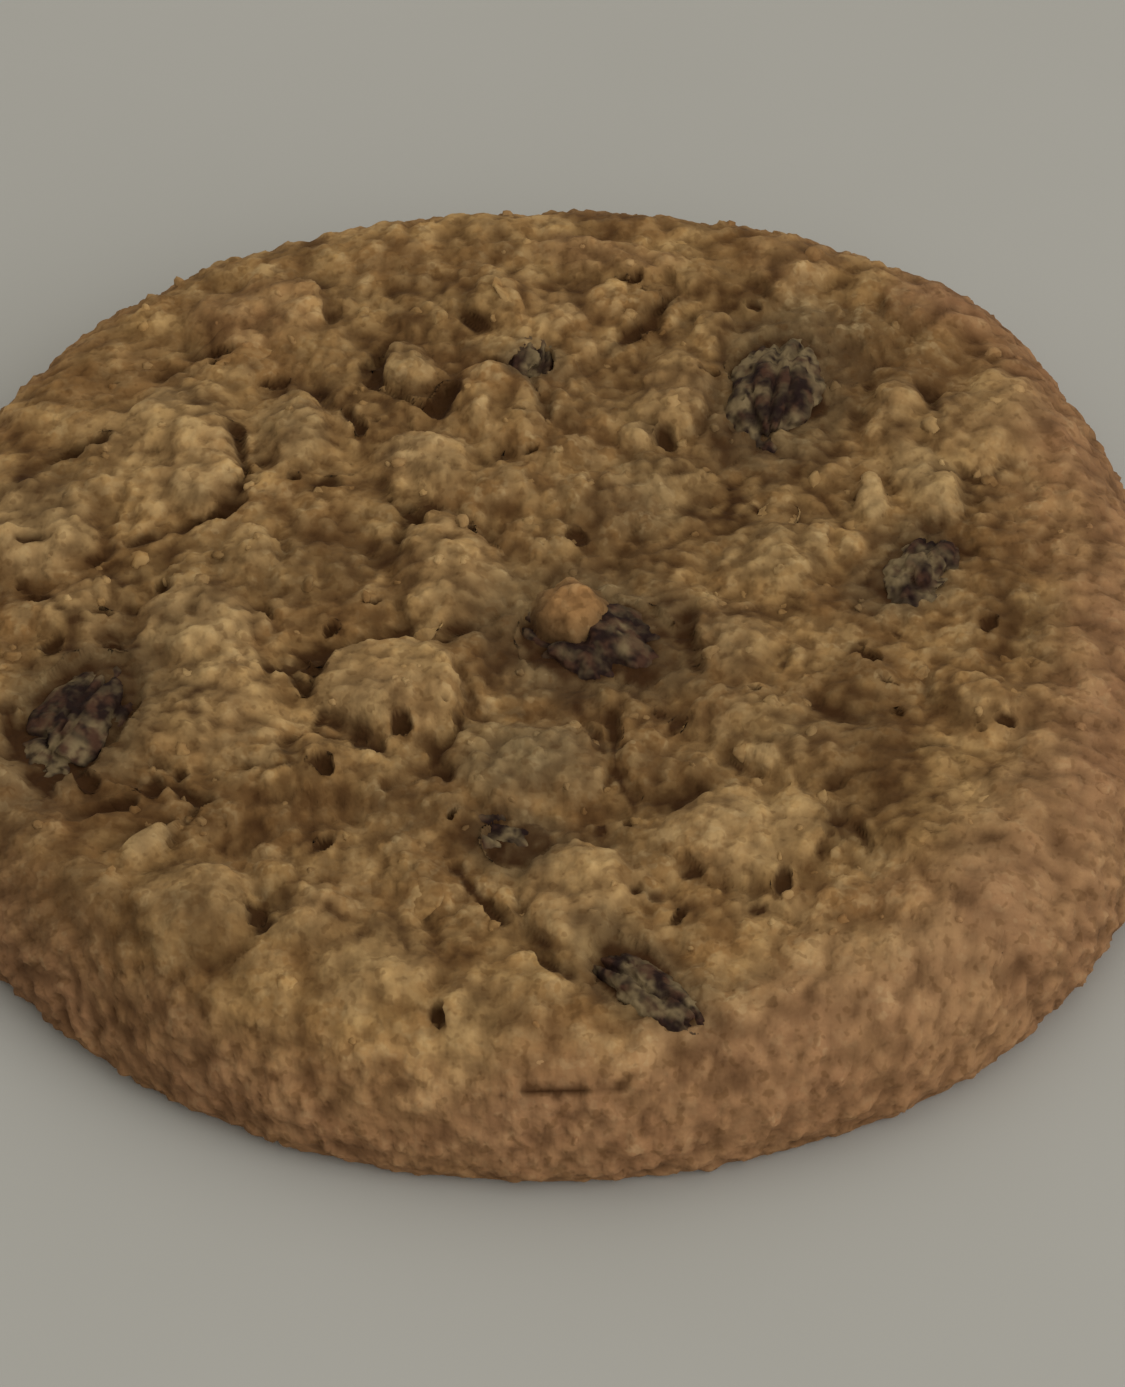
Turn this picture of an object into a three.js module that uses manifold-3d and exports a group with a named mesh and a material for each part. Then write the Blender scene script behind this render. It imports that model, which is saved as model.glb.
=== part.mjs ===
// An oatmeal raisin cookie: a round drop cookie with a flat underside, a rounded sandy rim and a craggy top.
// Clusters of dough, rolled oat flakes and cracks stand around seven raisins, each in a pocket of its own.
//
// Units are millimetres, +Z is up, and the origin is the middle of the underside. A place on the skin of the
// cookie is given as (x, y) on the unrolled skin: the direction from the centre, and the distance along the
// skin from the middle of the top. On the top that is the plan position, and past the shoulder it runs down
// the rim to the foot.

import * as THREE from "three";
import { mergeVertices } from "three/addons/utils/BufferGeometryUtils.js";
import Module from "manifold-3d";

// Driving dimensions of the round dough body.
const COOKIE_RADIUS = 42;
const CENTRE_HEIGHT = 10.3;
const SHOULDER_HEIGHT = 9.2;
const SHOULDER_INSET = 6; // how far in from the rim the top starts to turn over
const WAIST_HEIGHT = 2.5; // height of the widest line of the rim
const FOOT_INSET = 1.5; // how far the foot tucks in under the widest line
const GRID_CELLS = 64; // cells across the skin in each direction

// Lengths along the skin: the flat part of the top, then the shoulder's and the foot's quarter ellipses.
const TOP_REACH = COOKIE_RADIUS - SHOULDER_INSET;
const SHOULDER_REACH = quarterEllipse(SHOULDER_INSET, SHOULDER_HEIGHT - WAIST_HEIGHT);
const FOOT_REACH = quarterEllipse(FOOT_INSET, WAIST_HEIGHT);
const SKIN_REACH = TOP_REACH + SHOULDER_REACH + FOOT_REACH;

// The outline is a circle with a few broad bulges and dents: their direction and spread in degrees, and their
// rise.
const OUTLINE_BULGES = [
  { toward: 0, rise: -2.2, spread: 26 },
  { toward: 49, rise: 1.7, spread: 12 },
  { toward: 94, rise: -0.9, spread: 12 },
  { toward: 132, rise: 0.5, spread: 10 },
  { toward: 205, rise: 0.4, spread: 16 },
  { toward: 307, rise: 0.4, spread: 14 },
];

// Clusters of dough on the top: place, half length, half width, turn in degrees and rise over the valleys.
const CRAGS = [
  { x: -25, y: 13.5, long: 6.8, wide: 6, turn: 20, rise: 1.15 },
  { x: -32.5, y: 6, long: 4.6, wide: 5.6, turn: 0, rise: 0.9 },
  { x: -16.3, y: 14.5, long: 3, wide: 4.6, turn: 0, rise: 0.8 },
  { x: -9.2, y: 21, long: 2.4, wide: 3.2, turn: 0, rise: 1 },
  { x: -3.2, y: 17, long: 3.2, wide: 4.8, turn: 10, rise: 0.9 },
  { x: -7.5, y: 11.5, long: 3.8, wide: 4, turn: 0, rise: 0.8 },
  { x: -6.6, y: 1.5, long: 3.8, wide: 5.6, turn: 5, rise: 1.15 },
  { x: -18.6, y: 2.8, long: 1.9, wide: 2.3, turn: 0, rise: 0.95 },
  { x: -22, y: -3, long: 4.2, wide: 3.6, turn: -20, rise: 1 },
  { x: -20.6, y: -11, long: 5, wide: 5.6, turn: 0, rise: 1.05 },
  { x: -13.5, y: -16, long: 4.5, wide: 3.4, turn: 0, rise: 0.75 },
  { x: -0.6, y: -15, long: 4.8, wide: 4.6, turn: 0, rise: 0.95 },
  { x: 12, y: -4.3, long: 3.2, wide: 4.4, turn: 0, rise: 0.9 },
  { x: 14, y: -12.2, long: 5.4, wide: 3.8, turn: -15, rise: 0.8 },
  { x: 26.5, y: -20.5, long: 6.6, wide: 7, turn: 30, rise: 0.7 },
  { x: 29, y: -8.6, long: 4.6, wide: 4, turn: 0, rise: 0.75 },
  { x: -10.2, y: -32.3, long: 4.4, wide: 4.4, turn: 0, rise: 0.65 },
  { x: -3, y: -36.2, long: 4.6, wide: 3.4, turn: 0, rise: 0.55 },
  { x: -14.2, y: -28.4, long: 3.2, wide: 2.6, turn: 0, rise: 0.75 },
  { x: 22.6, y: 17, long: 2.5, wide: 4.2, turn: 0, rise: 0.95 },
  { x: 16, y: 32, long: 3.2, wide: 4, turn: 0, rise: 0.7 },
  { x: 11, y: 25.4, long: 1.8, wide: 2.6, turn: 0, rise: 0.9 },
  { x: -1.5, y: 28, long: 5, wide: 4.2, turn: 0, rise: 0.65 },
  { x: -19, y: 26.5, long: 5, wide: 4, turn: 30, rise: 0.7 },
  { x: 24.5, y: 27, long: 4.2, wide: 3.6, turn: -40, rise: 0.65 },
  { x: -29.5, y: -1, long: 4, wide: 3.2, turn: 0, rise: 0.8 },
  { x: 6.5, y: 8.6, long: 5, wide: 4.2, turn: 0, rise: 0.6 },
  { x: 15.2, y: 3.6, long: 4.4, wide: 4, turn: 0, rise: 0.65 },
];

// Rolled oat flakes bedded in the top: the same sizes, with flat crowns, and a tilt along their length.
const FLAKES = [
  { x: -9.8, y: -8.8, long: 5, wide: 4.6, turn: 0, rise: 1.15, tilt: 0.028 },
  { x: 1.8, y: -26.6, long: 3.8, wide: 4.8, turn: -20, rise: 0.95, tilt: -0.055 },
  { x: 29.2, y: 17.2, long: 5, wide: 5, turn: 20, rise: 1.3, tilt: -0.066 },
  { x: 25.2, y: 10.4, long: 4.6, wide: 2.3, turn: -65, rise: 1.05, tilt: 0.044 },
  { x: 21.5, y: 8.8, long: 2.3, wide: 1.1, turn: 100, rise: 0.9, tilt: 0 },
  { x: 8, y: 18.2, long: 2.8, wide: 4.8, turn: -5, rise: 0.9, tilt: 0.066 },
  { x: 6, y: 14.2, long: 1.6, wide: 1.3, turn: 0, rise: 1, tilt: 0 },
  { x: 11.8, y: -21.2, long: 5, wide: 4.2, turn: 10, rise: 0.75, tilt: -0.033 },
  { x: -21.2, y: -27, long: 3.9, wide: 4.1, turn: -10, rise: 0.95, tilt: 0.044 },
  { x: -27.9, y: -25.4, long: 2.1, wide: 3.6, turn: 10, rise: 0.75, tilt: 0 },
  { x: -24.2, y: -21.8, long: 2.7, wide: 1.1, turn: 48, rise: 0.95, tilt: 0 },
  { x: 3, y: 33, long: 5.6, wide: 2.4, turn: -20, rise: 0.6, tilt: 0.022 },
];

// Cracks between the clusters, as short runs of places on the skin.
const CRACKS = [
  [-20, 14.5, -19.2, 10.5, -20.2, 7, -23.5, 5.8, -26.5, 4.2],
  [-10.8, 22, -11, 19, -9, 17.6, -7, 16.9, -6.3, 19],
  [8.5, 29, 6, 25.3, 3, 21.8, 1, 20],
  [-16.2, -6.6, -14.8, -9.2, -13.6, -5.4, -10, -4.2],
  [-26, -16, -23, -17, -21.2, -18.5, -22.5, -21],
  [-5.5, -24, -2.2, -29.5, 1, -32.5, 4.5, -34],
  [-33.5, -10, -31.5, -15.5, -29, -18.8, -25.5, -18.2],
  [4.2, -11, 4.3, -16, 5.6, -19, 9, -17.6],
  [17, 11, 19.2, 15, 20.3, 19.5],
  [-35, 9.5, -31.5, 12.5, -28.5, 14],
];
const CRACK_HALF_WIDTH = 1;
const CRACK_DEPTH = 0.9;

// Raisins: place, half length, half width, half thickness, turn in degrees and how far the top stands over
// the valleys. A buried one lies under a skin of dough, apart from one window.
const RAISINS = [
  { name: "raisin_back_right", x: 14.6, y: 19, long: 6.6, wide: 3.8, thick: 3.2, turn: 80, proud: 1.5 },
  { name: "raisin_right", x: 23.8, y: 2.5, long: 3.9, wide: 2.7, thick: 2.6, turn: 60, proud: 1.3 },
  { name: "raisin_centre", x: 3, y: -4.4, long: 6.4, wide: 4.6, thick: 3.4, turn: -14, proud: 1.1 },
  { name: "raisin_left", x: -29.2, y: -10.6, long: 6.6, wide: 4, thick: 3.2, turn: 65, proud: 1.1 },
  { name: "raisin_front", x: 6, y: -33.3, long: 5.4, wide: 2.4, thick: 2.8, turn: -46, proud: 1 },
  { name: "raisin_back", x: -1, y: 22.6, long: 3.3, wide: 2.3, thick: 2.3, turn: 85, proud: 0.9 },
  {
    name: "raisin_buried",
    x: -3.4,
    y: -20.4,
    long: 5.2,
    wide: 3.7,
    thick: 3,
    turn: -30,
    proud: 0.3,
    window: { x: -1.6, y: -22, radius: 2.6 },
  },
];
const RAISIN_GAP = 0.3; // clearance between a raisin and its pocket
const RAISIN_SIDES = 16;
const RAISIN_RINGS = 9;

// The lump of dough that sits across the back of the middle raisin.
const CAP_LUMP = { x: 1.9, y: -2.3, long: 2.7, wide: 2.8, turn: 0, rise: 2.2 };

// Sizes of the seeded lumps between the named ones, largest first: cell size, rise and seed.
const COBBLES = [
  { cell: 6.4, rise: 0.7, salt: 3 },
  { cell: 3.9, rise: 0.6, salt: 11 },
];
const ROUND_CROWN = 2.6; // the power that shapes a cluster: a higher one is flatter on top and steeper
const FLAT_CROWN = 4;
const RIM_CALM_START = 35; // along the skin, where the crags start to fade into the sandy rim
const RIM_CALM_END = 44;
const RIM_RELIEF_SHARE = 0.3;
const FOOT_FADE = 3.2; // the relief dies away over this last stretch of skin

/** Length of a quarter of an ellipse with these half axes, by Ramanujan's rule. */
function quarterEllipse(a, b) {
  return (Math.PI / 4) * (3 * (a + b) - Math.sqrt((3 * a + b) * (a + 3 * b)));
}

/** A repeatable value from 0 to 1 for a grid cell and a seed. */
function hash(i, j, salt) {
  const wave = Math.sin(i * 127.1 + j * 311.7 + salt * 74.7) * 43758.5453;
  return wave - Math.floor(wave);
}

/** Smooth noise from -1 to 1, with features about one cell wide. */
function smoothNoise(x, y, cell, salt) {
  const [gx, gy] = [x / cell, y / cell];
  const [i, j] = [Math.floor(gx), Math.floor(gy)];
  const ease = (t) => t * t * (3 - 2 * t);
  const [fx, fy] = [ease(gx - i), ease(gy - j)];
  const near = hash(i, j, salt) * (1 - fx) + hash(i + 1, j, salt) * fx;
  const far = hash(i, j + 1, salt) * (1 - fx) + hash(i + 1, j + 1, salt) * fx;
  return 2 * (near * (1 - fy) + far * fy) - 1;
}

/** 0 before start, 1 after end, and a smooth step between. */
function fade(value, start, end) {
  return THREE.MathUtils.smoothstep(value, start, end);
}

/** The highest of the seeded round lumps around a place, from 0 to 1. */
function cobbles(x, y, cell, salt) {
  const [ci, cj] = [Math.floor(x / cell), Math.floor(y / cell)];
  let highest = 0;
  for (let i = ci - 1; i <= ci + 1; i++) {
    for (let j = cj - 1; j <= cj + 1; j++) {
      const cx = (i + 0.5 + 0.8 * (hash(i, j, salt) - 0.5)) * cell;
      const cy = (j + 0.5 + 0.8 * (hash(i, j, salt + 1) - 0.5)) * cell;
      const radius = cell * (0.5 + 0.35 * hash(i, j, salt + 2));
      const inside = 1 - ((x - cx) ** 2 + (y - cy) ** 2) / radius ** 2;
      const height = (0.5 + 0.5 * hash(i, j, salt + 3)) * Math.max(0, inside) ** 0.8;
      highest = Math.max(highest, height);
    }
  }
  return highest;
}

/** Distance from a lump's middle, where 1 is its edge, and how far along its length that is. */
function within(lump, x, y) {
  const turn = THREE.MathUtils.degToRad(lump.turn);
  const [dx, dy] = [x - lump.x, y - lump.y];
  const along = dx * Math.cos(turn) + dy * Math.sin(turn);
  const across = dy * Math.cos(turn) - dx * Math.sin(turn);
  return { distance: Math.hypot(along / lump.long, across / lump.wide), along };
}

/** Height of a rounded cluster, with an uneven edge. A higher crown gives a flatter top and steeper sides. */
function lumpHeight(lump, x, y, crown) {
  const { distance, along } = within(lump, x, y);
  const uneven = distance * (1 + 0.24 * smoothNoise(x, y, 4, 21));
  return Math.max(0, 1 - uneven ** crown) * (lump.rise + (lump.tilt ?? 0) * along);
}

/** Depth of the nearest crack, from 0 to 1, as a V with an uneven edge. */
function crackDepth(x, y) {
  let nearest = Infinity;
  for (const run of CRACKS) {
    for (let i = 0; i + 3 < run.length; i += 2) {
      const [ax, ay, bx, by] = run.slice(i, i + 4);
      const [dx, dy] = [bx - ax, by - ay];
      const share = ((x - ax) * dx + (y - ay) * dy) / (dx * dx + dy * dy);
      const t = THREE.MathUtils.clamp(share, 0, 1);
      nearest = Math.min(nearest, Math.hypot(x - ax - t * dx, y - ay - t * dy));
    }
  }
  return Math.max(0, 1 - nearest / (CRACK_HALF_WIDTH * (1 + 0.4 * smoothNoise(x, y, 3, 31))));
}

/** The skin is lowered under each raisin that shows, so that the raisin stands in a dish. */
function clearForRaisins(height, x, y) {
  let cleared = height;
  for (const raisin of RAISINS) {
    const floor = raisin.proud - 1.3;
    const open = raisin.window
      ? 1 - fade(Math.hypot(x - raisin.window.x, y - raisin.window.y) / raisin.window.radius, 0.6, 1.1)
      : 1 - fade(within(raisin, x, y).distance, 0.82, 1.12);
    cleared += open * (Math.min(cleared, floor) - cleared);
  }
  return cleared;
}

/** Height of the craggy relief over the plain dough body at a place on the skin. */
function relief(x, y) {
  const reach = Math.hypot(x, y);
  let top = 0;
  for (const crag of CRAGS) top = Math.max(top, lumpHeight(crag, x, y, ROUND_CROWN));
  for (const flake of FLAKES) top = Math.max(top, lumpHeight(flake, x, y, FLAT_CROWN));
  for (const size of COBBLES) top += size.rise * cobbles(x, y, size.cell, size.salt);
  top += 0.4 * smoothNoise(x, y, 17, 5) - CRACK_DEPTH * crackDepth(x, y);
  top = clearForRaisins(top, x, y);
  top = Math.max(top, lumpHeight(CAP_LUMP, x, y, ROUND_CROWN));
  const calm = 1 - (1 - RIM_RELIEF_SHARE) * fade(reach, RIM_CALM_START, RIM_CALM_END);
  return top * calm * (1 - fade(reach, SKIN_REACH - FOOT_FADE, SKIN_REACH));
}

/** How far the outline reaches in a direction, as a share of the mean radius. */
function outlineShare(angle) {
  let reach = COOKIE_RADIUS;
  for (const { toward, rise, spread } of OUTLINE_BULGES) {
    const apart = THREE.MathUtils.euclideanModulo(THREE.MathUtils.radToDeg(angle) - toward + 180, 360) - 180;
    reach += rise * Math.exp(-((apart / spread) ** 2));
  }
  return reach / COOKIE_RADIUS;
}

/** Radius, height and outward slope of the plain body at a distance along the skin from the middle. */
function profile(reach) {
  if (reach <= TOP_REACH) {
    const drop = (CENTRE_HEIGHT - SHOULDER_HEIGHT) * (reach / TOP_REACH) ** 2;
    return { radius: reach, height: CENTRE_HEIGHT - drop, slope: Math.PI / 2 };
  }
  const past = reach - TOP_REACH;
  if (past <= SHOULDER_REACH) {
    const slope = (Math.PI / 2) * (1 - past / SHOULDER_REACH);
    return {
      radius: TOP_REACH + SHOULDER_INSET * Math.cos(slope),
      height: WAIST_HEIGHT + (SHOULDER_HEIGHT - WAIST_HEIGHT) * Math.sin(slope),
      slope,
    };
  }
  const slope = (-Math.PI / 2) * Math.min(1, (past - SHOULDER_REACH) / FOOT_REACH);
  return {
    radius: COOKIE_RADIUS - FOOT_INSET * (1 - Math.cos(slope)),
    height: WAIST_HEIGHT * (1 + Math.sin(slope)),
    slope,
  };
}

/** The point of the craggy surface at a place on the skin. */
function skinPoint(x, y) {
  const reach = Math.hypot(x, y);
  const angle = Math.atan2(y, x);
  const { radius, height, slope } = profile(reach);
  const lift = relief(x, y);
  const out = radius * outlineShare(angle) + lift * Math.cos(slope);
  return new THREE.Vector3(out * Math.cos(angle), out * Math.sin(angle), height + lift * Math.sin(slope));
}

/** A square grid's place from -1 to 1 each way, carried on to the disc of the skin with even cells. */
function discPlace(a, b) {
  if (a === 0 && b === 0) return [0, 0];
  const [reach, angle] =
    Math.abs(a) > Math.abs(b) ? [a, (Math.PI / 4) * (b / a)] : [b, Math.PI / 2 - (Math.PI / 4) * (a / b)];
  return [reach * SKIN_REACH * Math.cos(angle), reach * SKIN_REACH * Math.sin(angle)];
}

/** Two triangles of a grid cell, split along its more level diagonal, so that ridges and cracks run on. */
function cellTriangles(points, i, j) {
  const row = GRID_CELLS + 1;
  const [a, b, c, d] = [i * row + j, (i + 1) * row + j, (i + 1) * row + j + 1, i * row + j + 1];
  const rise = (from, to) => Math.abs(points[from].z - points[to].z);
  return rise(a, c) < rise(b, d) ? [a, b, c, a, c, d] : [a, b, d, b, c, d];
}

/** The grid's border as indices, counter-clockwise seen from above. */
function borderRing() {
  const row = GRID_CELLS + 1;
  const ring = [];
  for (let i = 0; i < GRID_CELLS; i++) ring.push(i * row);
  for (let j = 0; j < GRID_CELLS; j++) ring.push(GRID_CELLS * row + j);
  for (let i = GRID_CELLS; i > 0; i--) ring.push(i * row + GRID_CELLS);
  for (let j = GRID_CELLS; j > 0; j--) ring.push(j);
  return ring;
}

/** The closed skin of the cookie: the craggy grid, and a fan across the flat underside. */
function doughGeometry() {
  const points = [];
  for (let i = 0; i <= GRID_CELLS; i++) {
    for (let j = 0; j <= GRID_CELLS; j++) {
      const [x, y] = discPlace((2 * i) / GRID_CELLS - 1, (2 * j) / GRID_CELLS - 1);
      points.push(skinPoint(x, y));
    }
  }
  const triangles = [];
  for (let i = 0; i < GRID_CELLS; i++) {
    for (let j = 0; j < GRID_CELLS; j++) triangles.push(...cellTriangles(points, i, j));
  }
  const ring = borderRing();
  for (const corner of ring) points[corner].z = 0;
  const hub = points.push(new THREE.Vector3(0, 0, 0)) - 1;
  ring.forEach((corner, k) => triangles.push(hub, ring[(k + 1) % ring.length], corner));
  const geometry = new THREE.BufferGeometry().setFromPoints(points);
  geometry.setIndex(triangles);
  return geometry;
}

/** The wrinkled, slightly flattened body of a raisin, grown outwards by a clearance. */
function raisinGeometry(raisin, seed, growth = 0) {
  const geometry = new THREE.SphereGeometry(1, RAISIN_SIDES, RAISIN_RINGS);
  geometry.deleteAttribute("normal");
  geometry.deleteAttribute("uv");
  const body = mergeVertices(geometry);
  const position = body.getAttribute("position");
  const p = new THREE.Vector3();
  for (let k = 0; k < position.count; k++) {
    p.fromBufferAttribute(position, k);
    const around = Math.atan2(p.z, p.x);
    const furrows = 0.07 * Math.cos(5 * around + 2.2 * p.y + seed);
    const folds = 0.05 * Math.cos(3 * around - 4 * p.y + 2 * seed);
    const dent = 1 + (furrows + folds) * (1 - p.y ** 4);
    const [wide, long, thick] = [raisin.wide + growth, raisin.long + growth, raisin.thick + growth];
    position.setXYZ(k, p.y * long, p.x * wide * dent, p.z * thick * dent);
  }
  // Carrying the sphere's own axis on to the raisin's length swaps two axes, which turns the faces round.
  const index = body.index.array;
  for (let k = 0; k < index.length; k += 3) [index[k], index[k + 1]] = [index[k + 1], index[k]];
  body.rotateZ(THREE.MathUtils.degToRad(raisin.turn));
  const valleys = profile(Math.hypot(raisin.x, raisin.y)).height;
  return body.translate(raisin.x, raisin.y, valleys + raisin.proud - raisin.thick);
}

/** A closed geometry as a solid that can be joined and cut. */
function solidOf(wasm, geometry) {
  const shape = mergeVertices(geometry);
  const vertProperties = new Float32Array(shape.getAttribute("position").array);
  const triVerts = new Uint32Array(shape.index.array);
  return new wasm.Manifold(new wasm.Mesh({ numProp: 3, vertProperties, triVerts }));
}

/** A solid back as a geometry for a mesh. */
function geometryOf(solid) {
  const mesh = solid.getMesh();
  const geometry = new THREE.BufferGeometry();
  geometry.setAttribute("position", new THREE.BufferAttribute(mesh.vertProperties, 3));
  geometry.setIndex(new THREE.BufferAttribute(mesh.triVerts, 1));
  geometry.computeVertexNormals();
  return geometry;
}

/** The dough with a pocket cut for each raisin, and crumbs that the cuts leave loose dropped. */
function pocketedDough(wasm) {
  let dough = solidOf(wasm, doughGeometry());
  RAISINS.forEach((raisin, k) => {
    dough = dough.subtract(solidOf(wasm, raisinGeometry(raisin, k, RAISIN_GAP)));
  });
  return dough.decompose().reduce((largest, body) => (body.volume() > largest.volume() ? body : largest));
}

const wasm = await Module();
wasm.setup();

const doughFinish = new THREE.MeshStandardMaterial({ color: 0x9a7a4c, roughness: 0.85, metalness: 0 });
const raisinFinish = new THREE.MeshStandardMaterial({ color: 0x33231f, roughness: 0.45, metalness: 0 });

const cookie = new THREE.Group();
const dough = new THREE.Mesh(geometryOf(pocketedDough(wasm)), doughFinish);
dough.name = "cookie";
cookie.add(dough);
RAISINS.forEach((raisin, k) => {
  const mesh = new THREE.Mesh(raisinGeometry(raisin, k), raisinFinish);
  mesh.name = raisin.name;
  cookie.add(mesh);
});

export default cookie;
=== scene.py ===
"""Dresses an oatmeal raisin cookie: baked dough, raisins, rolled oats and crumbs on a pale table.

Shapes are worked out in millimetres as whole numpy arrays, and become metres when they become meshes. A
place on the dough is (x, y) on its unrolled skin: the direction from the centre, and the distance along the
skin from the middle of the top. On the top that is the plan position, and past the shoulder it runs down
the rim to the foot.
"""

import logging
import math
from dataclasses import dataclass, field
from enum import Enum
from itertools import product
from typing import Any

import bpy
import numpy as np
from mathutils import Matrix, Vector


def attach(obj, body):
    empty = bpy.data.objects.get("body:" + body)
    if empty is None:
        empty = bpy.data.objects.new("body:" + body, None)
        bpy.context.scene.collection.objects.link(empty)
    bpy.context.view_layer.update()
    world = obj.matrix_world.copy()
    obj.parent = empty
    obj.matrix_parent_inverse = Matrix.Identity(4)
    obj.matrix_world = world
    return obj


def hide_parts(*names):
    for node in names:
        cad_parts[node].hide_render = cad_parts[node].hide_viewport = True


MM = 0.001
LOG = logging.getLogger("cookie")
# Layers of noise: strength, width of a feature in millimetres and seed.
Layers = tuple[tuple[float, float, float], ...]
# The start and the end of a range.
Span = tuple[float, float]
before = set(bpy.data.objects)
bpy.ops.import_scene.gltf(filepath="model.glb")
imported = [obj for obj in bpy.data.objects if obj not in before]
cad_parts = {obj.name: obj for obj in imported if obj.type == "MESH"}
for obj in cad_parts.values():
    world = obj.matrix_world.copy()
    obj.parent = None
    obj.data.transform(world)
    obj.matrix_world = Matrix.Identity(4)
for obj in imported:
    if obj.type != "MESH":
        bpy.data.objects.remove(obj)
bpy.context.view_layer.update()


# ----------------------------------------------------------------------------------------------------------
# Repeatable noise
# ----------------------------------------------------------------------------------------------------------


def hash01(*cells: np.ndarray, salt: float = 0) -> np.ndarray:
    """Repeatable values from 0 to 1 for grid cells: the fraction left by a large multiple of a sine.

    Args:
        cells: One array of cell numbers for each direction of the grid.
        salt: A seed, so that several values can be drawn for one cell.

    Returns:
        An array of values with the shape of the cells.
    """
    mixed = sum(cell * prime for cell, prime in zip(cells, (127.1, 311.7, 191.3)))
    wave = np.sin(mixed + salt * 74.7) * 43758.5453
    return wave - np.floor(wave)


def noise(points: np.ndarray, size: float, salt: float) -> np.ndarray:
    """Smooth value noise from -1 to 1: hashed corner values of a grid, blended by an eased share of each
    side.

    Args:
        points: Places as rows of two or three coordinates, in millimetres.
        size: Width of a feature in millimetres.
        salt: A seed.

    Returns:
        One value for each row.
    """
    grid = points / size
    low = np.floor(grid)
    share = grid - low
    share = share * share * (3 - 2 * share)
    total = np.zeros(len(points))
    for corner in product((0, 1), repeat=points.shape[1]):
        weight = np.prod(np.where(corner, share, 1 - share), axis=1)
        total += weight * hash01(*(low + corner).T, salt=salt)
    return 2 * total - 1


def grains(points: np.ndarray, size: float, salt: float, steep: float, oblong: float = 0) -> np.ndarray:
    """Packed grains, from 0 in the cracks between them to 1: the highest dome over each place, where a dome
    is (1 - distance² / radius²) to a power, and its centre, radius and height are drawn for each grid cell.
    An oblong grain counts the distance across a direction of its own as longer.

    Args:
        points: Places as rows of two or three coordinates, in millimetres.
        size: Width of a grid cell in millimetres.
        salt: A seed.
        steep: The power. A low one gives flat crowns and steep sides.
        oblong: How much narrower than long the grains are, with 0 for round ones.

    Returns:
        One value for each row.
    """
    axes = points.shape[1]
    low = np.floor(points / size)
    highest = np.zeros(len(points))
    for step in product((-1, 0, 1), repeat=axes):
        cell = (low + step).T
        middle = np.stack([0.5 + 0.8 * (hash01(*cell, salt=salt + k) - 0.5) for k in range(axes)])
        radius = size * (0.5 + 0.35 * hash01(*cell, salt=salt + axes))
        offset = points.T - (cell + middle) * size
        gap = np.sum(offset**2, axis=0) / radius**2
        if oblong:
            narrow = np.stack([hash01(*cell, salt=salt + 7 + k) - 0.5 for k in range(axes)])
            narrow /= np.linalg.norm(narrow, axis=0) + 1e-9
            gap += oblong * np.sum(offset * narrow, axis=0) ** 2 / radius**2
        height = 0.5 + 0.5 * hash01(*cell, salt=salt + axes + 1)
        highest = np.maximum(highest, height * np.maximum(0, 1 - gap) ** steep)
    return highest


def fade(value: np.ndarray, start: float, end: float) -> np.ndarray:
    """An eased step: 3 times the share of the way squared, less 2 times its cube.

    Args:
        value: The values to test.
        start: Where the step is still 0. It may be higher than the end.
        end: Where it has become 1.

    Returns:
        One share from 0 to 1 for each value.
    """
    share = np.clip((value - start) / (end - start), 0, 1)
    return share * share * (3 - 2 * share)


def uneven(places: np.ndarray, start: float, layers: Layers) -> np.ndarray:
    """An uneven amount: a start, and layers of noise added to it.

    Args:
        places: Places as rows, in millimetres.
        start: The amount without noise.
        layers: Strength, width of a feature in millimetres and seed of each layer of noise.

    Returns:
        One amount for each place.
    """
    total = np.full(len(places), float(start))
    for strength, size, salt in layers:
        total += strength * noise(places, size, salt)
    return total


# A turn that lines up with no axis, so that the grid under the noise doesn't show.
TWIST = np.array([[0, 0.8, 0.6], [-0.8, 0.36, -0.48], [-0.6, -0.48, 0.64]])


def swells(points: np.ndarray, size: float, salt: float) -> np.ndarray:
    """Swollen dough: the size of a noise without its sign, so 0 along creases where it crosses zero, and up
    to 1 on the rounded crowns between them. A second noise bends the places first, so that no crease runs
    straight.

    Args:
        points: Places in space as rows, in millimetres.
        size: Width of a swelling in millimetres.
        salt: A seed.

    Returns:
        One value for each row.
    """
    turned = points @ TWIST.T
    bend = np.stack([noise(turned, 1.6 * size, salt + 20 + k) for k in range(3)], axis=1)
    return np.sqrt(noise(turned + 0.5 * size * bend, size, salt) ** 2 + 0.002)


def unit(rows: np.ndarray) -> np.ndarray:
    """The rows of an array at length 1."""
    return rows / np.maximum(np.linalg.norm(rows, axis=-1, keepdims=True), 1e-12)


# ----------------------------------------------------------------------------------------------------------
# Meshes
# ----------------------------------------------------------------------------------------------------------


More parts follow.
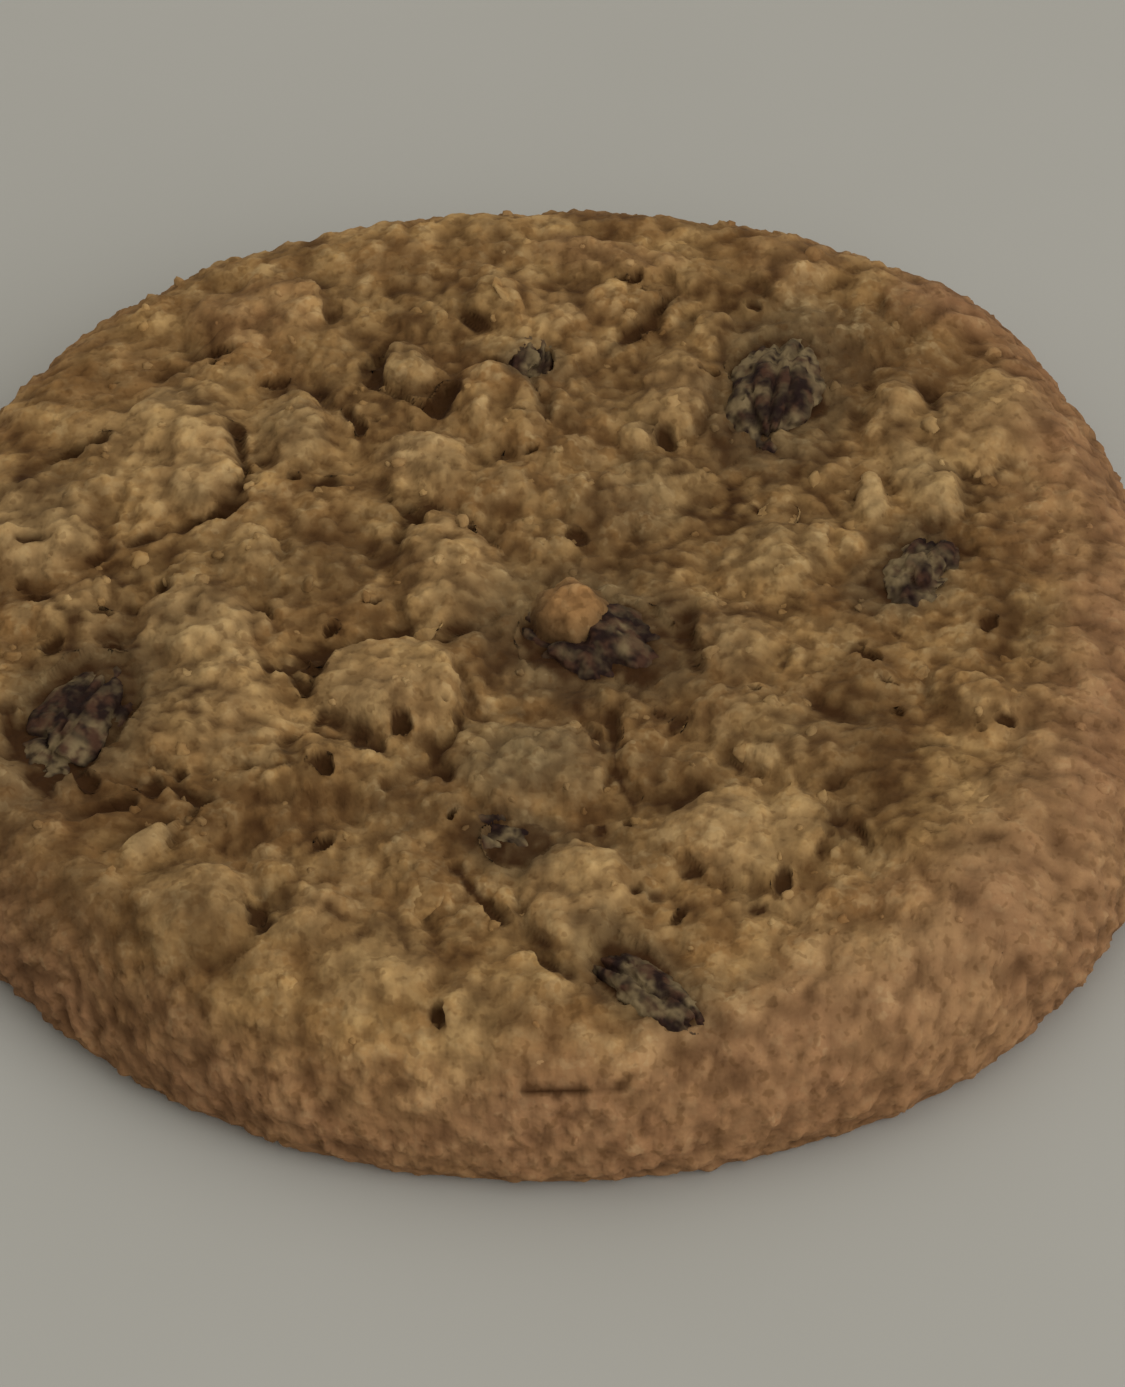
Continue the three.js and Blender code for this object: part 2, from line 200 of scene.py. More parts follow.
@dataclass
class Surface:
    """A closed surface as arrays: points in millimetres, triangles that face outwards and values per
    point."""

    points: np.ndarray
    triangles: np.ndarray
    values: dict[str, np.ndarray] = field(default_factory=dict)

    def spread(self) -> np.ndarray:
        """Adds up the faces' cross products around each point.

        Returns:
            One vector for each point, outwards, as long as twice the area of the faces around it where they
            lie flat.
        """
        corners = self.points[self.triangles]
        faces = np.cross(corners[:, 1] - corners[:, 0], corners[:, 2] - corners[:, 0])
        total = np.zeros_like(self.points)
        for corner in range(3):
            for axis in range(3):
                total[:, axis] += np.bincount(self.triangles[:, corner], faces[:, axis], len(self.points))
        return total

    def normals(self) -> np.ndarray:
        """Outward normals at the points."""
        return unit(self.spread())

    def smoothed(self, values: np.ndarray) -> np.ndarray:
        """Averages values over the triangles around each point, so that none shows the triangles' long
        sides.

        Args:
            values: One value for each point.

        Returns:
            The mean, over the triangles around each point, of their corners' mean values.
        """
        means = np.repeat(values[self.triangles].mean(axis=1), 3)
        corners = self.triangles.ravel()
        return np.bincount(corners, means, len(values)) / np.bincount(corners, minlength=len(values))

    def piece(self, name: str, material: bpy.types.Material) -> bpy.types.Object:
        """Makes the surface a smooth Blender piece in metres, with its values as attributes.

        Args:
            name: Name of the object and its mesh.
            material: The piece's only material.

        Returns:
            The object, at the origin, riding on the root body.
        """
        mesh = bpy.data.meshes.new(name)
        mesh.from_pydata(self.points * MM, [], self.triangles.tolist())
        for key, values in self.values.items():
            attribute = mesh.attributes.new(key, "FLOAT", "POINT")
            attribute.data.foreach_set("value", values.astype(np.float32))
        mesh.polygons.foreach_set("use_smooth", np.ones(len(self.triangles), dtype=bool))
        mesh.materials.append(material)
        mesh.update()
        piece = bpy.data.objects.new(name, mesh)
        bpy.context.scene.collection.objects.link(piece)
        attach(piece, "root")
        LOG.info("%s: %d triangles", name, len(self.triangles))
        return piece


def ball_triangles(around: int, rings: int) -> np.ndarray:
    """Triangles of a closed surface of rings between two end points: point 0, the rings in order, the last
    point.

    Args:
        around: Points in each ring, counter-clockwise seen from point 0.
        rings: Number of rings.

    Returns:
        Triangles that face outwards when point 0 is the top.
    """
    here = np.arange(around)
    after = (here + 1) % around
    last = 1 + around * rings
    start = 1 + around * (rings - 1)
    cap = np.stack([np.zeros(around, int), 1 + here, 1 + after], axis=1)
    foot = np.stack([np.full(around, last), start + after, start + here], axis=1)
    ring = 1 + around * np.arange(rings - 1)[:, None]
    upper, upper_next = ring + here, ring + after
    lower, lower_next = ring + around + here, ring + around + after
    sides = [np.stack([upper, lower, lower_next], -1), np.stack([upper, lower_next, upper_next], -1)]
    return np.concatenate([cap, *[side.reshape(-1, 3) for side in sides], foot])


def ball_points(around: int, rings: int) -> np.ndarray:
    """Points of a unit ball in the order that ball_triangles expects, with its ends on the Z axis.

    Args:
        around: Points in each ring.
        rings: Number of rings.

    Returns:
        Points as rows.
    """
    down = math.pi * np.arange(1, rings + 1)[:, None] / (rings + 1)
    turn = 2 * np.pi * np.arange(around) / around
    across = np.sin(down)
    ring = np.stack(np.broadcast_arrays(across * np.cos(turn), across * np.sin(turn), np.cos(down)), -1)
    return np.concatenate([[[0, 0, 1]], ring.reshape(-1, 3), [[0, 0, -1]]])


def planted(local: np.ndarray, frames: np.ndarray, centres: np.ndarray, triangles: np.ndarray) -> Surface:
    """Many copies of one net of triangles, each with points of its own, turned and moved to its seat.

    Args:
        local: Points as (copy, point, axis).
        frames: One 3 by 3 frame for each copy, with its axes as columns.
        centres: One seat for each copy.
        triangles: The net.

    Returns:
        All copies as one surface.
    """
    copies, each = local.shape[:2]
    points = np.einsum("nij,nkj->nki", frames, local) + centres[:, None]
    numbers = triangles[None] + each * np.arange(copies)[:, None, None]
    return Surface(points.reshape(-1, 3), numbers.reshape(-1, 3))


class Crumb(Enum):
    """How a layer of crumb is shaped: swollen dough with creases, or packed grains."""

    SWOLLEN = "swollen"
    GRAINY = "grainy"


@dataclass(frozen=True)
class CrumbLayer:
    """One layer of the dough's crumb: its shape, its width and depth in millimetres, the share of the depth
    that is left on the sandy rim, how much painted shade its creases get, and how fast it fades where
    triangles are stretched."""

    shape: Crumb
    size: float
    depth: float
    on_rim: float
    dark: float
    shy: float

    def height(self, points: np.ndarray, salt: float) -> np.ndarray:
        """The layer's height. Grains are oval, and a noise a little wider than they are bends them.

        Args:
            points: Places in space as rows, in millimetres.
            salt: A seed.

        Returns:
            One value for each place, from 0 in the creases to 1.
        """
        if self.shape is Crumb.SWOLLEN:
            return swells(points, self.size, salt)
        bend = np.stack([noise(points, 1.4 * self.size, salt + 20 + k) for k in range(3)], axis=1)
        return grains(points + 0.35 * self.size * bend, self.size, salt, 0.9, oblong=1.2)


CRUMB_LAYERS = (
    CrumbLayer(Crumb.GRAINY, 3.6, 0.4, 0.25, 0.3, 0.0),
    CrumbLayer(Crumb.SWOLLEN, 1.9, 0.34, 0.85, 0.3, 0.5),
    CrumbLayer(Crumb.GRAINY, 1.15, 0.34, 1.35, 0.4, 1.0),
    CrumbLayer(Crumb.SWOLLEN, 0.6, 0.11, 2.6, 0.2, 2.0),
)
# The height in a layer that stays on the surface under it: what is higher stands out, and what is lower
# sinks.
CRUMB_LEVEL = 0.4
# The heights in a layer between which the painted shade in a crease fades out.
CREASE_HEIGHTS = (0.03, 0.25)
# The share of its depth that a layer keeps at least where triangles are stretched, before its shyness.
LEAST_SLACK = 0.1


def crumble(surface: Surface, rim: np.ndarray, share: np.ndarray) -> tuple[np.ndarray, np.ndarray]:
    """Pushes a surface's points along their normals by each layer of crumb in space in turn, so that the
    later and finer ones also stand out of the sides of the earlier ones. Where the triangles are stretched,
    a layer is shallower, in step with how much larger they are than the middle one.

    Args:
        surface: The surface, which is changed.
        rim: 1 where the crust is sandy and 0 on the craggy top.
        share: Share of the depth at each point.

    Returns:
        How far each point was pushed out in millimetres, and how deep it lies in a crease from 0 to about
        1.
    """
    pushed, crease = np.zeros(len(share)), np.zeros(len(share))
    for salt, layer in enumerate(CRUMB_LAYERS, 41):
        area = np.linalg.norm(surface.spread(), axis=1)
        slack = np.clip(np.median(area) / np.maximum(area, 1e-12), LEAST_SLACK, 1) ** layer.shy
        height = layer.height(surface.points, 16 * salt)
        local = share * slack * (1 - rim * (1 - layer.on_rim))
        out = layer.depth * local * (height - CRUMB_LEVEL)
        surface.points = surface.points + out[:, None] * surface.normals()
        pushed += out
        # Painted shade in the creases.
        crease += layer.dark * local * (1 - fade(height, *CREASE_HEIGHTS))
    return pushed, crease


def standing_frames(normals: np.ndarray, turns: np.ndarray) -> np.ndarray:
    """Right-handed frames whose third axis is a normal and whose first is turned about it.

    Args:
        normals: Unit normals as rows.
        turns: Turns in radians.

    Returns:
        One 3 by 3 array for each row, with the axes as columns.
    """
    guide = np.where(np.abs(normals[:, :1]) < 0.9, [[1.0, 0, 0]], [[0, 1.0, 0]])
    first = unit(guide - np.sum(guide * normals, axis=1, keepdims=True) * normals)
    second = np.cross(normals, first)
    cos, sin = np.cos(turns)[:, None], np.sin(turns)[:, None]
    return np.stack([cos * first + sin * second, cos * second - sin * first, normals], axis=-1)


# ----------------------------------------------------------------------------------------------------------
# The dough's plain body and the lumps on it
# ----------------------------------------------------------------------------------------------------------


class Tone(Enum):
    """How the dough of a lump has baked: its share of pale oat (below 0 it is browner), of grey raisin
    juice, and of rosy sugar."""

    PLAIN = (0.0, 0.0, 0.0)
    PALE = (1.0, 0.0, 0.0)
    LIGHT = (0.5, 0.0, 0.0)
    BROWN = (-0.7, 0.0, 0.0)
    GREY = (0.0, 1.0, 0.0)
    DULL = (0.0, 0.5, 0.0)
    ROSY = (0.2, 0.0, 1.0)


@dataclass(frozen=True)
class Lump:
    """An oval lump on the top: its place, half sizes and rise in millimetres, its turn in degrees and its
    tilt along its length. A higher crown power gives a flatter top and steeper sides."""

    x: float
    y: float
    long: float
    wide: float
    turn: float
    rise: float
    tone: Tone = Tone.PLAIN
    tilt: float = 0.0
    crown: float = 2.6

    def within(self, places: np.ndarray) -> tuple[np.ndarray, np.ndarray]:
        """Measures places in the lump's own directions.

        Args:
            places: Places on the skin as rows.

        Returns:
            The distance from the middle, where 1 is the edge, and the distance along the length in
            millimetres.
        """
        turn = math.radians(self.turn)
        offset = places - (self.x, self.y)
        along = offset @ (math.cos(turn), math.sin(turn))
        across = offset @ (-math.sin(turn), math.cos(turn))
        return np.hypot(along / self.long, across / self.wide), along

    def shape(self, places: np.ndarray, unevenness: np.ndarray) -> tuple[np.ndarray, np.ndarray]:
        """The lump's height and its presence: 1 less the distance to the crown power, times rise and tilt.

        Args:
            places: Places on the skin as rows.
            unevenness: How much further out each place counts as being, as a share of its distance.

        Returns:
            Heights in millimetres, and presence from 0 outside to 1 in the middle.
        """
        distance, along = self.within(places)
        presence = np.maximum(0, 1 - (distance * (1 + unevenness)) ** self.crown)
        return presence * (self.rise + self.tilt * along), presence


# Clusters of dough on the top.
CRAGS = (
    Lump(-25, 13.5, 6.8, 6, 20, 1.15, Tone.LIGHT),
    Lump(-32.5, 6, 4.6, 5.6, 0, 0.9, Tone.PALE),
    Lump(-16.3, 14.5, 3, 4.6, 0, 0.8, Tone.DULL),
    Lump(-9.2, 21, 2.4, 3.2, 0, 1, Tone.DULL),
    Lump(-3.2, 17, 3.2, 4.8, 10, 0.9),
    Lump(-7.5, 11.5, 3.8, 4, 0, 0.8, Tone.LIGHT),
    Lump(-6.6, 1.5, 3.8, 5.6, 5, 1.15, Tone.LIGHT),
    Lump(-18.6, 2.8, 1.9, 2.3, 0, 0.95, Tone.LIGHT),
    Lump(-22, -3, 4.2, 3.6, -20, 1, Tone.PALE),
    Lump(-20.6, -11, 5, 5.6, 0, 1.05, Tone.LIGHT),
    Lump(-13.5, -16, 4.5, 3.4, 0, 0.75, Tone.PLAIN),
    Lump(-0.6, -15, 4.8, 4.6, 0, 0.95, Tone.GREY),
    Lump(12, -4.3, 3.2, 4.4, 0, 0.9, Tone.DULL),
    Lump(14, -12.2, 5.4, 3.8, -15, 0.8, Tone.DULL),
    Lump(26.5, -20.5, 6.6, 7, 30, 0.7, Tone.PLAIN),
    Lump(29, -8.6, 4.6, 4, 0, 0.75, Tone.PLAIN),
    Lump(-10.2, -32.3, 4.4, 4.4, 0, 0.65, Tone.LIGHT),
    Lump(-3, -36.2, 4.6, 3.4, 0, 0.55, Tone.PLAIN),
    Lump(-14.2, -28.4, 3.2, 2.6, 0, 0.75, Tone.LIGHT),
    Lump(22.6, 17, 2.5, 4.2, 0, 0.95, Tone.LIGHT),
    Lump(16, 32, 3.2, 4, 0, 0.7, Tone.BROWN),
    Lump(11, 25.4, 1.8, 2.6, 0, 0.9),
    Lump(-1.5, 28, 5, 4.2, 0, 0.65),
    Lump(-19, 26.5, 5, 4, 30, 0.7, Tone.BROWN),
    Lump(24.5, 27, 4.2, 3.6, -40, 0.65, Tone.BROWN),
    Lump(-29.5, -1, 4, 3.2, 0, 0.8, Tone.LIGHT),
    Lump(6.5, 8.6, 5, 4.2, 0, 0.6, Tone.DULL),
    Lump(15.2, 3.6, 4.4, 4, 0, 0.65, Tone.DULL),
)
FLAT_CROWN = 4.0
# Rolled oat flakes bedded in the top.
FLAKES = (
    Lump(-9.8, -8.8, 5, 4.6, 0, 1.15, Tone.LIGHT, 0.028, FLAT_CROWN),
    Lump(1.8, -26.6, 3.8, 4.8, -20, 0.95, Tone.LIGHT, -0.055, FLAT_CROWN),
    Lump(29.2, 17.2, 5, 5, 20, 1.3, Tone.LIGHT, -0.066, FLAT_CROWN),
    Lump(25.2, 10.4, 4.6, 2.3, -65, 1.05, Tone.PALE, 0.044, FLAT_CROWN),
    Lump(21.5, 8.8, 2.3, 1.1, 100, 0.9, Tone.PALE, 0, FLAT_CROWN),
    Lump(8, 18.2, 2.8, 4.8, -5, 0.9, Tone.LIGHT, 0.066, FLAT_CROWN),
    Lump(6, 14.2, 1.6, 1.3, 0, 1, Tone.PALE, 0, FLAT_CROWN),
    Lump(11.8, -21.2, 5, 4.2, 10, 0.75, Tone.LIGHT, -0.033, FLAT_CROWN),
    Lump(-21.2, -27, 3.9, 4.1, -10, 0.95, Tone.LIGHT, 0.044, FLAT_CROWN),
    Lump(-27.9, -25.4, 2.1, 3.6, 10, 0.75, Tone.LIGHT, 0, FLAT_CROWN),
    Lump(-24.2, -21.8, 2.7, 1.1, 48, 0.95, Tone.PALE, 0, FLAT_CROWN),
    Lump(3, 33, 5.6, 2.4, -20, 0.6, Tone.BROWN, 0.022, FLAT_CROWN),
)
# The lump of dough that sits across the back of the middle raisin.
CAP_LUMP = Lump(1.9, -2.5, 2.8, 3, 0, 2.2, Tone.ROSY)

# Cracks between the clusters, as runs of places on the skin.
CRACKS = (
    ((-20, 14.5), (-19.2, 10.5), (-20.2, 7), (-23.5, 5.8), (-26.5, 4.2)),
    ((-10.8, 22), (-11, 19), (-9, 17.6), (-7, 16.9), (-6.3, 19)),
    ((8.5, 29), (6, 25.3), (3, 21.8), (1, 20)),
    ((-16.2, -6.6), (-14.8, -9.2), (-13.6, -5.4), (-10, -4.2)),
    ((-26, -16), (-23, -17), (-21.2, -18.5), (-22.5, -21)),
    ((-5.5, -24), (-2.2, -29.5), (1, -32.5), (4.5, -34)),
    ((-33.5, -10), (-31.5, -15.5), (-29, -18.8), (-25.5, -18.2)),
    ((4.2, -11), (4.3, -16), (5.6, -19), (9, -17.6)),
    ((17, 11), (19.2, 15), (20.3, 19.5)),
    ((-35, 9.5), (-31.5, 12.5), (-28.5, 14)),
)
# Pits in the top: place and radius in millimetres.
PITS = (
    (-24, -16.7, 1.1), (6.7, -26.5, 0.8), (-16, -7, 1), (-27, -4.5, 0.8), (-7.5, -4, 0.7), (-10.8, -14, 0.8),
    (-9, -12.3, 0.6), (-5.3, -12, 0.7), (-21, -18.5, 0.6), (-2.8, -22, 0.7), (8, -28, 0.6), (9, -24.5, 0.5),
    (14.5, -24.5, 0.6), (-17.5, -28, 0.6), (-6.4, -36.3, 0.7), (8, -11.8, 0.6), (15.3, -6.5, 0.6),
    (-14, 9.5, 0.8), (-12, 15, 0.7), (-8.7, 6.8, 0.7), (-1, 13, 0.5), (-18, 19.5, 0.5), (7.5, 14, 0.7),
    (6, 30.3, 0.5), (1.9, 5, 0.5), (-31, -4.6, 0.6), (13, -27, 0.5), (3.4, -20.6, 0.6), (-13.4, -22.2, 0.6),
)  # fmt: skip
# A slit that has opened along the front of the rim: place, half sizes and turn in degrees.
RIM_SLIT = (1.2, -40.9, 2.6, 0.35, 2)
# Patches where the dough lies low and is darker, partly darker baked tone and partly painted shade in low
# places and along the left of the rim, or stands higher and is paler below 0, partly floury tone and partly
# painted light towards the lit front right: place, half sizes, turn in degrees and strength.
SHADES = (
    (-16.5, 1.8, 7, 3, 10, 0.8), (-1, -3.5, 2.4, 5, 0, 0.8), (5.5, 5.5, 6, 4, 20, 0.7),
    (-31, 10, 4.5, 3, 20, 0.6), (-10.5, -17, 4, 4, 0, 0.5), (-6, -20.5, 3, 3, 0, 0.5),
    (-27, -28, 5, 4, -30, 0.5), (22.5, 23, 4, 7, 20, 0.6), (32, -1, 3.5, 5, 0, 0.6),
    (21, -25, 3, 3.2, 0, 0.8), (20.5, -14, 2.4, 9, 0, 0.7), (-36, -8, 3, 4, 0, 0.5),
    (-18, -13, 2.5, 3.5, 0, 0.4), (1, 17, 4, 4, 0, 0.5), (-34, -30, 10, 18, 45, 1.2),
    (8, -16, 4, 2.5, 0, 0.5), (-23, 20.5, 6, 3, 30, -0.6), (-21.5, 8.3, 4, 2, 10, -0.8),
    (3, 27, 4, 3, 0, -0.6), (-12, 13, 6, 2.5, -15, -0.5), (-17, -5.3, 3.5, 2.5, 0, -0.6),
    (-13, -12, 3, 2.2, 0, -0.9), (10, -5, 3.5, 3, 0, -0.6), (13, -27, 4, 2.5, 0, -0.8),
    (-4, -37, 4, 6, 0, -0.5), (24, -28, 14, 7, 35, -0.8), (11, 22, 1.5, 5, 0, -0.5),
    (-23, -8.5, 2.5, 3, 0, -0.5), (-31.5, -4, 3, 2.5, 0, -0.5), (22, 3, 2.5, 4, 0, -0.5),
    (26, -12, 3, 3, 0, -0.4), (-28, 3.5, 3, 2.5, 0, -0.5), (11, 7, 3, 2.5, 0, -0.5),
    (3, -31.5, 2.5, 2.5, 0, -0.5), (6, -22, 5, 2.2, 15, 0.6), (-21.5, -3, 2.5, 2.5, 0, 0.5),
)  # fmt: skip


@dataclass(frozen=True)
class Raisin:
    """A raisin: the node it stands for, its place and half sizes in millimetres, its turn in degrees, how
    far it stands over the valleys, and the share of it that the dough has smeared. A window, as place and
    radius, is the only part of it that shows. The edge is where the dough closes over it and the soak is
    where its juice ends, both with 1 as the raisin's or the window's own outline."""

    node: str
    x: float
    y: float
    long: float
    wide: float
    thick: float
    turn: float
    proud: float
    smear: float
    window: tuple[float, float, float] | None = None
    edge: Span = (0.76, 0.94)
    soak: Span = (0.9, 1.8)

    def opening(self, places: np.ndarray, ragged: np.ndarray) -> tuple[np.ndarray, np.ndarray]:
        """Where the dough leaves the raisin bare, and where its juice has soaked the dough.

        Args:
            places: Places on the skin as rows.
            ragged: How much further out each place counts as being, as a share of its distance.

        Returns:
            1 in the opening and 0 past its ragged edge, and 1 there and 0 at nearly twice the distance.
        """
        if self.window:
            x, y, radius = self.window
            distance = np.hypot(*(places - (x, y)).T) / radius
        else:
            distance = Lump(self.x, self.y, self.long, self.wide, self.turn, 0).within(places)[0]
        distance = distance * (1 + ragged)
        return 1 - fade(distance, *self.edge), 1 - fade(distance, *self.soak)


RAISINS = (
    Raisin("raisin_back_right", 14.6, 19, 6.6, 3.8, 3.2, 80, 1.5, 0.4),
    Raisin("raisin_right", 23.8, 2.5, 3.9, 2.7, 2.6, 60, 1.3, 0.35),
    Raisin("raisin_centre", 3, -4.4, 6.4, 4.6, 3.4, -14, 1.1, 0.4),
    Raisin("raisin_left", -29.2, -10.6, 6.6, 4, 3.2, 65, 1.1, 0.25),
    Raisin("raisin_front", 6, -33.3, 5.4, 2.4, 2.8, -46, 1, 0.55),
    Raisin("raisin_back", -1, 22.6, 3.3, 2.3, 2.3, 85, 0.9, 0.2, (-1, 21.8, 1.7)),
    Raisin("raisin_buried", -3.4, -20.4, 5.2, 3.7, 3, -30, 0.3, 0.1, (-1.6, -22, 2.4)),
)


def quarter_ellipse(a: float, b: float) -> float:
    """Length of a quarter of an ellipse with these half axes, by Ramanujan's rule."""
    return math.pi / 4 * (3 * (a + b) - math.sqrt((3 * a + b) * (a + 3 * b)))


@dataclass(frozen=True)
class DoughBody:
    """The round body under the crags: a shallow dome, a quarter-ellipse shoulder and a foot that tucks in.
    Each bulge or dent of its outline is a direction in degrees, a rise in millimetres and a spread in
    degrees."""

    radius: float = 42.0
    centre_height: float = 10.3
    shoulder_height: float = 9.2
    shoulder_inset: float = 6.0
    waist_height: float = 2.5
    foot_inset: float = 1.5
    bulges: tuple[tuple[float, float, float], ...] = (
        (0, -2.2, 26), (49, 1.7, 12), (94, -0.9, 12), (132, 0.5, 10), (205, 0.4, 16), (307, 0.4, 14),
    )  # fmt: skip

    @property
    def top_reach(self) -> float:
        """How far the top runs before it starts to turn over."""
        return self.radius - self.shoulder_inset

    @property
    def shoulder_reach(self) -> float:
        """Length of the shoulder's curve."""
        return quarter_ellipse(self.shoulder_inset, self.shoulder_height - self.waist_height)

    @property
    def foot_reach(self) -> float:
        """Length of the foot's curve."""
        return quarter_ellipse(self.foot_inset, self.waist_height)

    @property
    def skin_reach(self) -> float:
        """Length of the skin from the middle of the top to the foot's lower edge."""
        return self.top_reach + self.shoulder_reach + self.foot_reach

    def profile(self, reach: np.ndarray) -> tuple[np.ndarray, np.ndarray, np.ndarray]:
        """The body's section: a parabola on top, then a quarter ellipse out to the waist and one back to
        the foot.

        Args:
            reach: Distances along the skin from the middle of the top.

        Returns:
            Radius, height and the angle of the outward normal above level, in radians.
        """
        past = reach - self.top_reach
        shoulder = np.pi / 2 * (1 - np.clip(past / self.shoulder_reach, 0, 1))
        foot = np.pi / 2 * np.clip((past - self.shoulder_reach) / self.foot_reach, 0, 1)
        rise = self.shoulder_height - self.waist_height
        on_top, on_foot = past <= 0, past > self.shoulder_reach
        drop = (self.centre_height - self.shoulder_height) * (reach / self.top_reach) ** 2
        radius = np.where(on_top, reach, self.top_reach + self.shoulder_inset * np.cos(shoulder))
        radius = np.where(on_foot, self.radius - self.foot_inset * (1 - np.cos(foot)), radius)
        height = np.where(on_top, self.centre_height - drop, self.waist_height + rise * np.sin(shoulder))
        height = np.where(on_foot, self.waist_height * (1 - np.sin(foot)), height)
        return radius, height, np.where(on_foot, -foot, shoulder)

    def outline(self, angle: np.ndarray) -> np.ndarray:
        """The outline: the radius and a bell for each bulge or dent.

        Args:
            angle: Directions in radians.

        Returns:
            How far the outline reaches in each direction, as a share of the radius.
        """
        reach = np.full_like(angle, self.radius)
        for toward, rise, spread in self.bulges:
            apart = (np.degrees(angle) - toward + 180) % 360 - 180
            reach += rise * np.exp(-((apart / spread) ** 2))
        return reach / self.radius

    def lifted(self, places: np.ndarray, lift: np.ndarray) -> np.ndarray:
        """Points a given distance outside the plain body, along its own normals.

        Args:
            places: Places on the skin as rows.
            lift: Distances in millimetres.

        Returns:
            Points as rows.
        """
        angle = np.arctan2(places[:, 1], places[:, 0])
        radius, height, slope = self.profile(np.hypot(*places.T))
        out = radius * self.outline(angle) + lift * np.cos(slope)
        return np.stack([out * np.cos(angle), out * np.sin(angle), height + lift * np.sin(slope)], axis=1)


# ----------------------------------------------------------------------------------------------------------
# Finishes
# ----------------------------------------------------------------------------------------------------------


def linear(colour: str) -> tuple[float, float, float, float]:
    """Turns an sRGB colour linear by the standard's own curve: a straight foot and a power above it.

    Args:
        colour: The colour as sRGB hex, such as #A08060.

    Returns:
        Linear red, green and blue, and an alpha of 1.
    """
    channels = [int(colour[k : k + 2], 16) / 255 for k in (1, 3, 5)]
    curve = [c / 12.92 if c <= 0.04045 else ((c + 0.055) / 1.055) ** 2.4 for c in channels]
    return (*curve, 1.0)


def add_node(
    tree: bpy.types.NodeTree, kind: str, sockets: dict[Any, Any], **settings: Any
) -> bpy.types.Node:
    """Adds a shader node, sets its properties and fills its sockets.

    Args:
        tree: The material's node tree.
        kind: The node's type without its leading ShaderNode.
        sockets: Input name or number to an output to link, or a value to set.
        settings: Properties of the node, such as its operation.

    Returns:
        The new node.
    """
    node = tree.nodes.new("ShaderNode" + kind)
    for key, value in settings.items():
        setattr(node, key, value)
    for key, value in sockets.items():
        if isinstance(value, bpy.types.NodeSocket):
            tree.links.new(value, node.inputs[key])
        else:
            node.inputs[key].default_value = value
    return node


class Palette:
    """A material under construction: its tree, its Object coordinates, and what its finishes share. The
    finest size is the width of the smallest grain that still shows."""

    finest_mm = 0.28

    def __init__(self, name: str) -> None:
        """Starts a material with an empty tree.

        Args:
            name: Name of the material.
        """
        self.material = bpy.data.materials.new(name)
        self.material.use_nodes = True
        self.tree = self.material.node_tree
        self.tree.nodes.clear()
        self.place = self.add("TexCoord", {}).outputs["Object"]

    def add(self, kind: str, sockets: dict[Any, Any], **settings: Any) -> bpy.types.Node:
        """Adds a node to this material's tree."""
        return add_node(self.tree, kind, sockets, **settings)

    def patches(
        self, size_mm: float, low: float = 0.0, high: float = 1.0, shift: float = 0.0
    ) -> bpy.types.NodeSocket:
        """Soft patches of a real size: a noise around 0.5, stretched so that it is 0 under low and 1 over
        high. Finer noise is added to it down to the finest size that can be seen.

        Args:
            size_mm: Width of a patch.
            low: The noise's value where the patches start.
            high: Its value where they are full.
            shift: How far to shift the noise, in metres, so that two of one size don't match.

        Returns:
            The socket with their strength.
        """
        place = self.add("VectorMath", {0: self.place, 1: (shift, shift, 0)}, operation="ADD").outputs[0]
        detail = max(0.0, math.log2(size_mm / self.finest_mm))
        sockets = {"Vector": place, "Scale": 1 / (size_mm * MM), "Detail": detail, "Roughness": 0.55}
        value = self.add("TexNoise", sockets).outputs["Fac"]
        sockets = {"Value": value, "From Min": low, "From Max": high}
        return self.add("MapRange", sockets, interpolation_type="SMOOTHSTEP").outputs["Result"]

    def coat(
        self, under: Any, over: str, share: float, *masks: str | bpy.types.NodeSocket
    ) -> bpy.types.NodeSocket:
        """Lays a colour over another.

        Args:
            under: The colour under it, as hex or as a socket.
            over: The colour to lay over it, as hex.
            share: How much of it covers where the masks are full.
            masks: Patches, or names of the piece's own attributes. They are multiplied.

        Returns:
            The socket with the colour.
        """
        factor = share
        for mask in masks:
            if isinstance(mask, str):
                mask = self.add("Attribute", {}, attribute_name=mask).outputs["Fac"]
            factor = self.add("Math", {0: mask, 1: factor}, operation="MULTIPLY", use_clamp=True).outputs[0]
        under = linear(under) if isinstance(under, str) else under
        return self.add("Mix", {0: factor, 6: under, 7: linear(over)}, data_type="RGBA").outputs[2]

    def surface(
        self, colour: Any, roughness: float, specular: float, *relief: tuple[float, float]
    ) -> bpy.types.Material:
        """Finishes the material with a plain opaque surface.

        Args:
            colour: The colour's socket.
            roughness: The roughness, the same all over.
            specular: Strength of the reflection, where 0.5 is that of glass.
            relief: Grain size and depth in millimetres of each layer of grain too fine to model, coarse ones
                first.

        Returns:
            The material.
        """
        sockets = {"Base Color": colour, "Roughness": roughness, "Specular IOR Level": specular}
        for size_mm, depth_mm in relief:
            height = self.patches(size_mm, shift=0.1 * size_mm)
            bump = {"Height": height, "Distance": depth_mm * MM, "Strength": 1.0}
            if "Normal" in sockets:
                bump["Normal"] = sockets["Normal"]
            sockets["Normal"] = self.add("Bump", bump).outputs["Normal"]
        shader = self.add("BsdfPrincipled", sockets)
        self.add("OutputMaterial", {"Surface": shader.outputs[0]})
        return self.material


